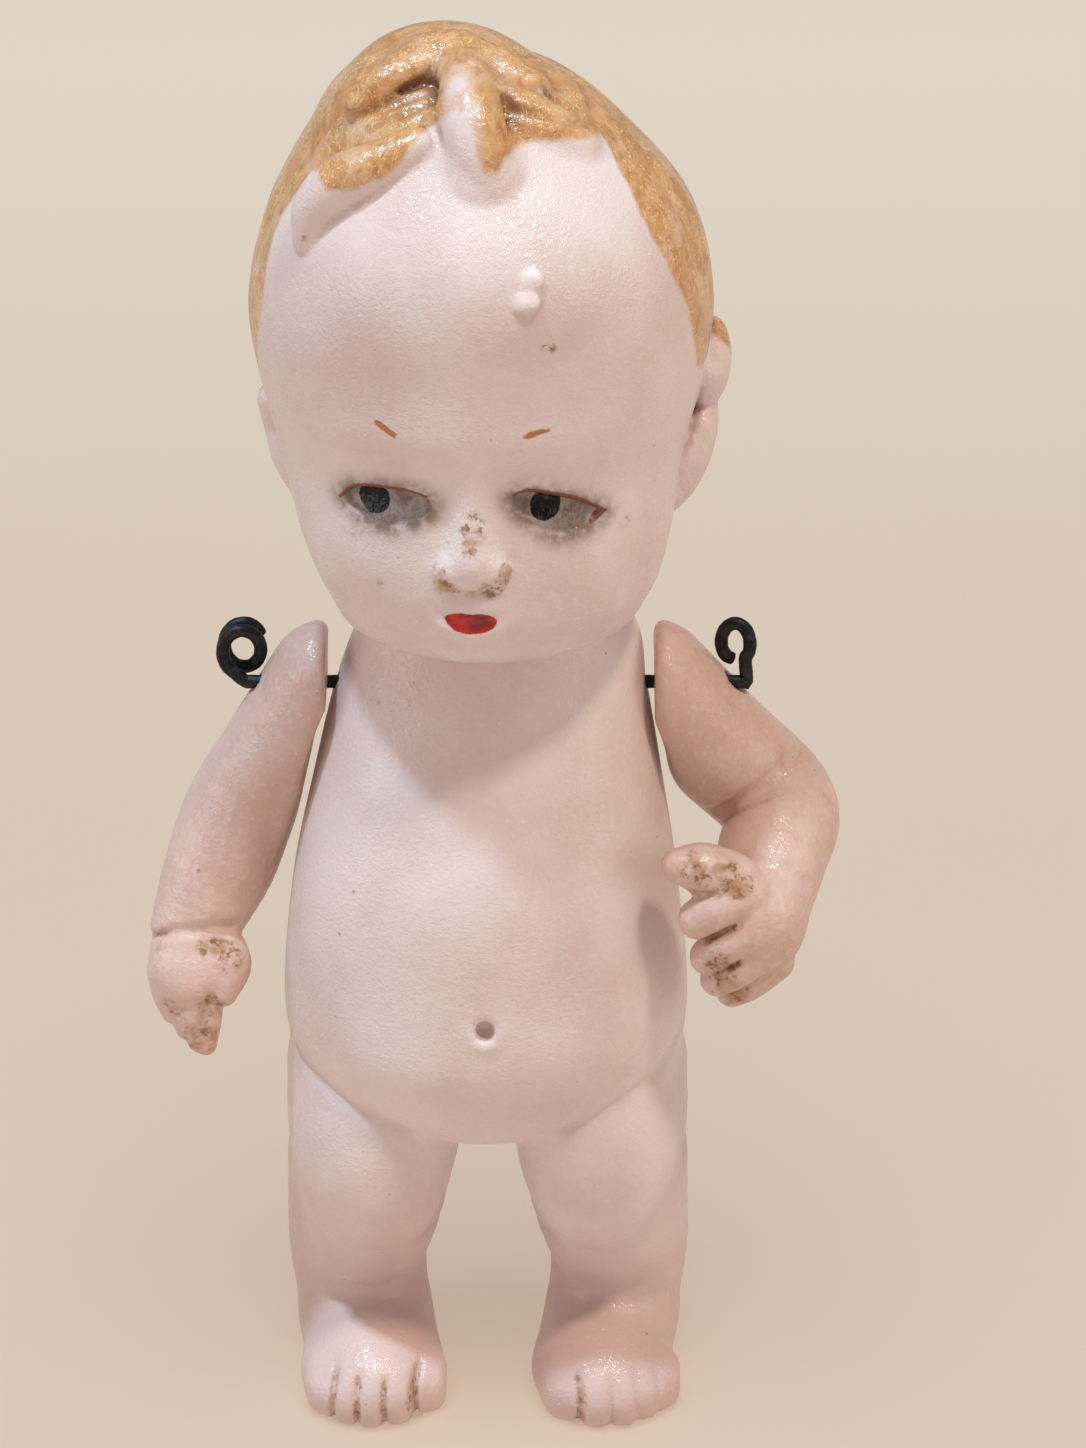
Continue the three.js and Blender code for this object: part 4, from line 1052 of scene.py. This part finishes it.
def bisque(name, pale, deep, painted):
    """Unglazed tinted porcelain: a fine grain, faint blotches, specks, dirt that keeps to the folds, and
    painted shade deep in the folds.
    """
    n = Nodes(name)
    n.colour = n.mix(n.patches(0.09, 3.0, 0.35, 0.68), pale, deep)
    n.over(n.times(n.patches(1.6, 3.0, 0.45, 0.75), 0.2), rgb(240, 224, 219))
    if painted:
        # painted shade: the body darkens towards the feet
        split = n.add("ShaderNodeSeparateXYZ")
        n.link(n.place, split.inputs[0])
        n.over(n.between(split.outputs["Z"], 28.0, 6.0, 0.0, 0.6), rgb(200, 164, 154))
    else:
        scuff = n.noise(0.45, 5.0, 0.65, n.stretched(1.0, 1.0, 0.45))
        n.over(n.between(scuff, 0.56, 0.72, 0.0, 0.4), rgb(186, 126, 108))
    # pale grains in the porcelain, which also stand in for a painted sparkle of highlight
    grains = n.times(n.specks(1.5, 0.16, 0.22), n.patches(0.16, 2.0, 0.45, 0.62, 0.1, 0.55))
    n.over(grains, rgb(252, 242, 236))
    fold = n.attribute("fold")
    # painted shade: the colour darkens deep in the folds
    n.over(n.between(fold, 0.2, 0.8, 0.0, 0.4), rgb(160, 104, 88))
    rough = n.patches(2.5, 4.0, 0.3, 0.75, 0.4, 0.62, 0.7)
    if painted:
        # grey-brown round the eyes: partly dirt, partly painted shade of the sunken eyes
        smudge = n.times(n.attribute("smudge"), n.patches(0.9, 4.0, 0.3, 0.62, 0.4, 0.95))
        n.over(smudge, rgb(116, 82, 62))
        n.over(n.times(n.edge("blister", 0.25, 2.0, 0.3), 0.6), rgb(246, 234, 228))
        white = n.edge("white", 0.06, 2.0, 0.12)
        grey = n.mix(n.patches(0.6, 4.0, 0.35, 0.65), rgb(166, 150, 144), rgb(116, 90, 78))
        n.over(white, grey)
        pupil = n.times(n.edge("pupil", 0.2, 1.4), white)
        n.over(pupil, n.mix(n.patches(1.3, 4.0, 0.58, 0.7), rgb(8, 8, 8), rgb(62, 62, 66)))
        n.shade("Specular IOR Level", n.math("MULTIPLY_ADD", pupil, -0.42, 0.5))
        n.over(n.edge("lid", 0.08, 2.5), n.mix(n.noise(2.0), rgb(92, 44, 24), rgb(138, 76, 42)))
        n.over(n.edge("brow", 0.1, 2.5), n.mix(n.noise(2.0), rgb(172, 96, 44), rgb(196, 128, 78)))
        lips = n.edge("lips", 0.1, 2.2)
        n.over(lips, n.mix(n.patches(0.8, 4.0, 0.42, 0.62), rgb(204, 30, 18), rgb(140, 16, 10)))
        # hair paint, thin on the high places, with bare rubbed ones
        streak = n.noise(0.6, 5.0, 0.6, n.stretched(1.0, 0.45, 0.45), 1.6)
        ochre = n.mix(n.between(streak, 0.35, 0.68), rgb(210, 156, 102), rgb(184, 126, 72))
        ochre = n.mix(n.patches(0.22, 4.0, 0.46, 0.66, 0.0, 0.6, 0.6), ochre, rgb(220, 182, 150))
        # darker in the folds: paint pooled in the grooves, and painted shade
        ochre = n.mix(n.between(fold, 0.14, 0.55, 0.0, 0.85), ochre, rgb(134, 84, 44))
        ochre = n.mix(n.patches(1.1, 5.0, 0.52, 0.72, 0.0, 0.5, 0.65), ochre, rgb(150, 94, 48))
        ochre = n.mix(n.times(n.specks(1.3, 0.16, 0.25), 0.5), ochre, rgb(112, 68, 36))
        crinkle = n.noise(0.9, 3.0, 0.55, n.stretched(1.0, 0.6, 0.6), 2.2)
        crinkle = n.math("ABSOLUTE", n.math("SUBTRACT", crinkle, 0.5))
        glint = n.math("MAXIMUM", n.specks(2.2, 0.24, 0.4), n.between(crinkle, 0.02, 0.004))
        glint = n.times(glint, n.patches(0.3, 2.0, 0.42, 0.55))
        ochre = n.mix(n.times(glint, 0.8), ochre, rgb(246, 212, 146))
        hair = n.edge("hair", 0.3, 0.8, 0.34)
        bare = n.edge("bare", 0.5, 0.5, 1.1)
        rubbed = n.patches(0.5, 4.0, 0.6, 0.74, 0.0, 0.5, 0.6)
        worn = n.math("MAXIMUM", n.times(bare, n.patches(0.4, 4.0, 0.35, 0.62, 0.5, 0.95)), rubbed)
        hair = n.times(hair, n.math("SUBTRACT", 1.0, worn))
        n.over(hair, ochre)
        n.shade("Coat Weight", n.math("MULTIPLY_ADD", hair, 0.35, 0.4))
    # dirt: a brown wash in the folds with dark grains in it
    held = n.attribute("dirt")
    wash = n.times(n.between(held, 0.1, 0.9), n.patches(0.7, 4.0, 0.38, 0.62))
    n.over(n.times(wash, 0.7), rgb(170, 116, 68))
    grains = n.times(n.patches(1.3, 5.0, 0.48, 0.6, rough=0.7), n.patches(0.5, 3.0, 0.38, 0.52))
    grains = n.times(grains, n.between(held, 0.15, 0.6))
    n.over(n.times(grains, 0.9), n.mix(n.noise(0.8), rgb(158, 110, 64), rgb(104, 68, 36)))
    specks = n.math("MAXIMUM", n.specks(0.22, 0.05, 0.4), n.specks(0.42, 0.05, 0.25))
    pores = n.times(n.specks(0.9, 0.075, 0.3), 0.3)
    n.over(pores, rgb(150, 104, 84))
    n.over(n.times(specks, 0.6), rgb(140, 90, 64))
    n.shade("Base Color", n.colour)
    n.shade("Roughness", rough)
    grain = n.math("ADD", n.noise(2.6, 3.0, 0.6), n.times(n.noise(7.0, 2.0), 0.5))
    normal = n.bump(grain, 0.55, 0.14)
    n.shade("Normal", n.bump(n.noise(0.9, 3.0), 0.12, 0.3, normal))
    n.shade("Coat Normal", n.bump(n.noise(2.6, 1.0, 0.6), 0.8, 0.13))
    if not painted:
        n.shade("Coat Weight", 0.45)
    n.shade("Coat Roughness", 0.13)
    n.shade("Subsurface Weight", 0.2)
    n.shade("Subsurface Radius", (1.0, 0.45, 0.3))
    n.shade("Subsurface Scale", 1.0 * MM)
    return n.material


def iron(name):
    """Dull black wire, with scale and a little rust."""
    n = Nodes(name)
    scale = n.noise(1.4, 4.0, 0.6)
    colour = n.mix(n.between(scale, 0.4, 0.7), rgb(34, 36, 37), rgb(62, 64, 64))
    rust = n.times(n.patches(0.8, 4.0, 0.58, 0.7), 0.6)
    n.shade("Base Color", n.mix(rust, colour, rgb(84, 58, 42)))
    n.shade("Roughness", n.between(scale, 0.3, 0.7, 0.38, 0.6))
    n.shade("Metallic", 0.75)
    n.shade("Normal", n.bump(n.noise(3.0, 3.0), 0.35, 0.15))
    return n.material


def backdrop(name):
    """Pale paper that glows with painted light, a little paler and brighter far away."""
    n = Nodes(name)
    split = n.add("ShaderNodeSeparateXYZ")
    n.link(n.place, split.inputs[0])
    far = n.between(split.outputs["Y"], 60.0, 600.0)
    near = n.mix(n.noise(0.02, 3.0), rgb(231, 216, 197), rgb(228, 212, 193))
    n.shade("Base Color", n.mix(far, near, rgb(238, 232, 222)))
    # painted light: the paper glows, a little more far away, so its shadows stay faint
    n.shade("Emission Color", n.mix(far, (0.302, 0.266, 0.22), (0.35, 0.324, 0.268)))
    n.shade("Emission Strength", 1.0)
    n.shade("Roughness", 0.9)
    n.shade("Specular IOR Level", 0.2)
    return n.material


END_SHARES = (0.02, 0.7, 0.93)  # of the radius, at the wire's rounded ends


def tube(route, radius, sides):
    """Quads of a slightly uneven round tube along a route."""
    ahead = np.gradient(route, axis=0)
    ahead /= np.linalg.norm(ahead, axis=1)[:, None]
    out = np.cross(ahead[0], (0.3, 0.9, 0.2))
    angles = np.linspace(0, 2 * math.pi, sides, endpoint=False)[:, None]
    stations = [(0, share) for share in END_SHARES]
    stations += [(i, 1.0) for i in range(1, len(route) - 1)]
    stations += [(-1, share) for share in END_SHARES[::-1]]
    rings = []
    for i, share in stations:
        out = out - ahead[i] * (out @ ahead[i])
        out /= np.linalg.norm(out)
        side = np.cross(ahead[i], out)
        wobble = 1 + 0.02 * math.sin(0.9 * i) + 0.015 * math.sin(2.3 * i)
        rings.append(route[i] + radius * share * wobble * (np.cos(angles) * out + np.sin(angles) * side))
    i, j = np.meshgrid(np.arange(len(stations) - 1), np.arange(sides), indexing="ij")
    start, after = i * sides, (j + 1) % sides
    quads = np.stack([start + j, start + after, start + sides + after, start + sides + j], -1)
    return np.vstack(rings), quads.reshape(-1, 4)


def close_ends(piece):
    """Fills the open ends of a tube."""
    work = bmesh.new()
    work.from_mesh(piece.data)
    bmesh.ops.holes_fill(work, edges=[e for e in work.edges if e.is_boundary], sides=0)
    bmesh.ops.recalc_face_normals(work, faces=work.faces)
    work.to_mesh(piece.data)
    work.free()


# The pieces

body_bisque = bisque("body_bisque", rgb(230, 211, 206), rgb(220, 196, 189), True)
arm_bisque = bisque("arm_bisque", rgb(218, 185, 172), rgb(205, 167, 152), False)
black_iron = iron("black_iron")

pieces = []
casting = body_shape()
# Finer at the sides and front, the feet and the head
axes = (
    grid_lines(-23.5, 0.42, 24.0),
    grid_lines(-23.5, 0.38, -6.0, 0.6, 22.5),
    grid_lines(-0.8, 0.42, 7.5, 0.6, 76.0, 0.4, 129.5),
)
points, quads = skin(casting, axes)
points, normals = settle(casting, points)
paint = body_paint(points, casting, normals)
pieces.append(make_piece("doll_body", points, quads, paint, body_bisque, "body", "body_casting"))

for side, name in ((RIGHT, "right_arm"), (LEFT, "left_arm")):
    shape, marks = arm_shape(side)
    low, high = (np.array(v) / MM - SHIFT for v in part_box(name))
    axes = [grid_lines(a - 1.5, 0.28, b + 1.5) for a, b in zip(low, high)]
    points, quads = skin(shape, axes)
    points, normals = settle(shape, points)
    paint = arm_paint(points, shape, normals, marks, side)
    pieces.append(make_piece("doll_" + name, points, quads, paint, arm_bisque, name, name))

points, quads = tube(wire_route(), WIRE_RADIUS, WIRE_SIDES)
wire = make_piece("doll_wire", points, quads, {}, black_iron, "wire", "shoulder_wire")
close_ends(wire)
pieces.append(wire)

# Floor, light and camera

floor_mesh = bpy.data.meshes.new("floor")
floor_mesh.from_pydata([(-4, -4, 0), (4, -4, 0), (4, 4, 0), (-4, 4, 0)], [], [(0, 1, 2, 3)])
floor_mesh.materials.append(backdrop("floor_paper"))
floor = bpy.data.objects.new("floor", floor_mesh)
bpy.context.scene.collection.objects.link(floor)

scene = bpy.context.scene
world = bpy.data.worlds.new("studio")
world.use_nodes = True
background = world.node_tree.nodes["Background"]
background.inputs["Color"].default_value = (*rgb(252, 236, 230), 1)
background.inputs["Strength"].default_value = 0.31
scene.world = world
scene.view_settings.view_transform = "Standard"


def gathered(name, objects):
    group = bpy.data.collections.new(name)
    for item in objects:
        group.objects.link(item)
    return group


def area_light(name, place, aim, size, power, colour, receivers, blockers=None):
    """A round lamp that lights one group only, and is shaded by the doll, or by everything."""
    light = bpy.data.lights.new(name, "AREA")
    light.shape = "DISK"
    light.size, light.energy, light.color = size, power, rgb(*colour)
    lamp = bpy.data.objects.new(name, light)
    lamp.location = place
    lamp.rotation_euler = (Vector(aim) - Vector(place)).to_track_quat("-Z", "Y").to_euler()
    scene.collection.objects.link(lamp)
    lamp.light_linking.receiver_collection = receivers
    if blockers:
        lamp.light_linking.blocker_collection = blockers


doll, ground = gathered("doll", pieces), gathered("ground", [floor])
area_light("cool", (-0.612, -0.299, 2.527), (0, 0, 0.07), 0.22, 51.0, (196, 230, 255), doll)
area_light("warm", (0.756, -0.68, 2.409), (0, 0, 0.07), 0.32, 29.5, (255, 246, 228), doll)
area_light("left_fill", (-1.9, -0.7, 0.6), (0, 0, 0.06), 1.2, 9.0, (246, 246, 255), doll)
area_light("right_fill", (1.9, -0.9, 0.6), (0, 0, 0.06), 1.2, 7.0, (255, 248, 238), doll)
area_light("bounce", (0.1, -1.0, -0.6), (0, 0, 0.06), 1.2, 2.3, (240, 243, 255), doll, doll)
area_light("wash", (0, -0.5, 2.3), (0, 0.1, 0), 1.8, 14.0, (240, 248, 255), ground)

camera = bpy.data.cameras.new("camera")
camera.lens, camera.sensor_width, camera.clip_start = 83.3, 36.0, 0.01
eye = bpy.data.objects.new("camera", camera)
eye.location = (0.00448, -0.273739, 0.184)
eye.rotation_euler = (math.radians(90 - 23.46), 0, 0)
scene.collection.objects.link(eye)
scene.camera = eye
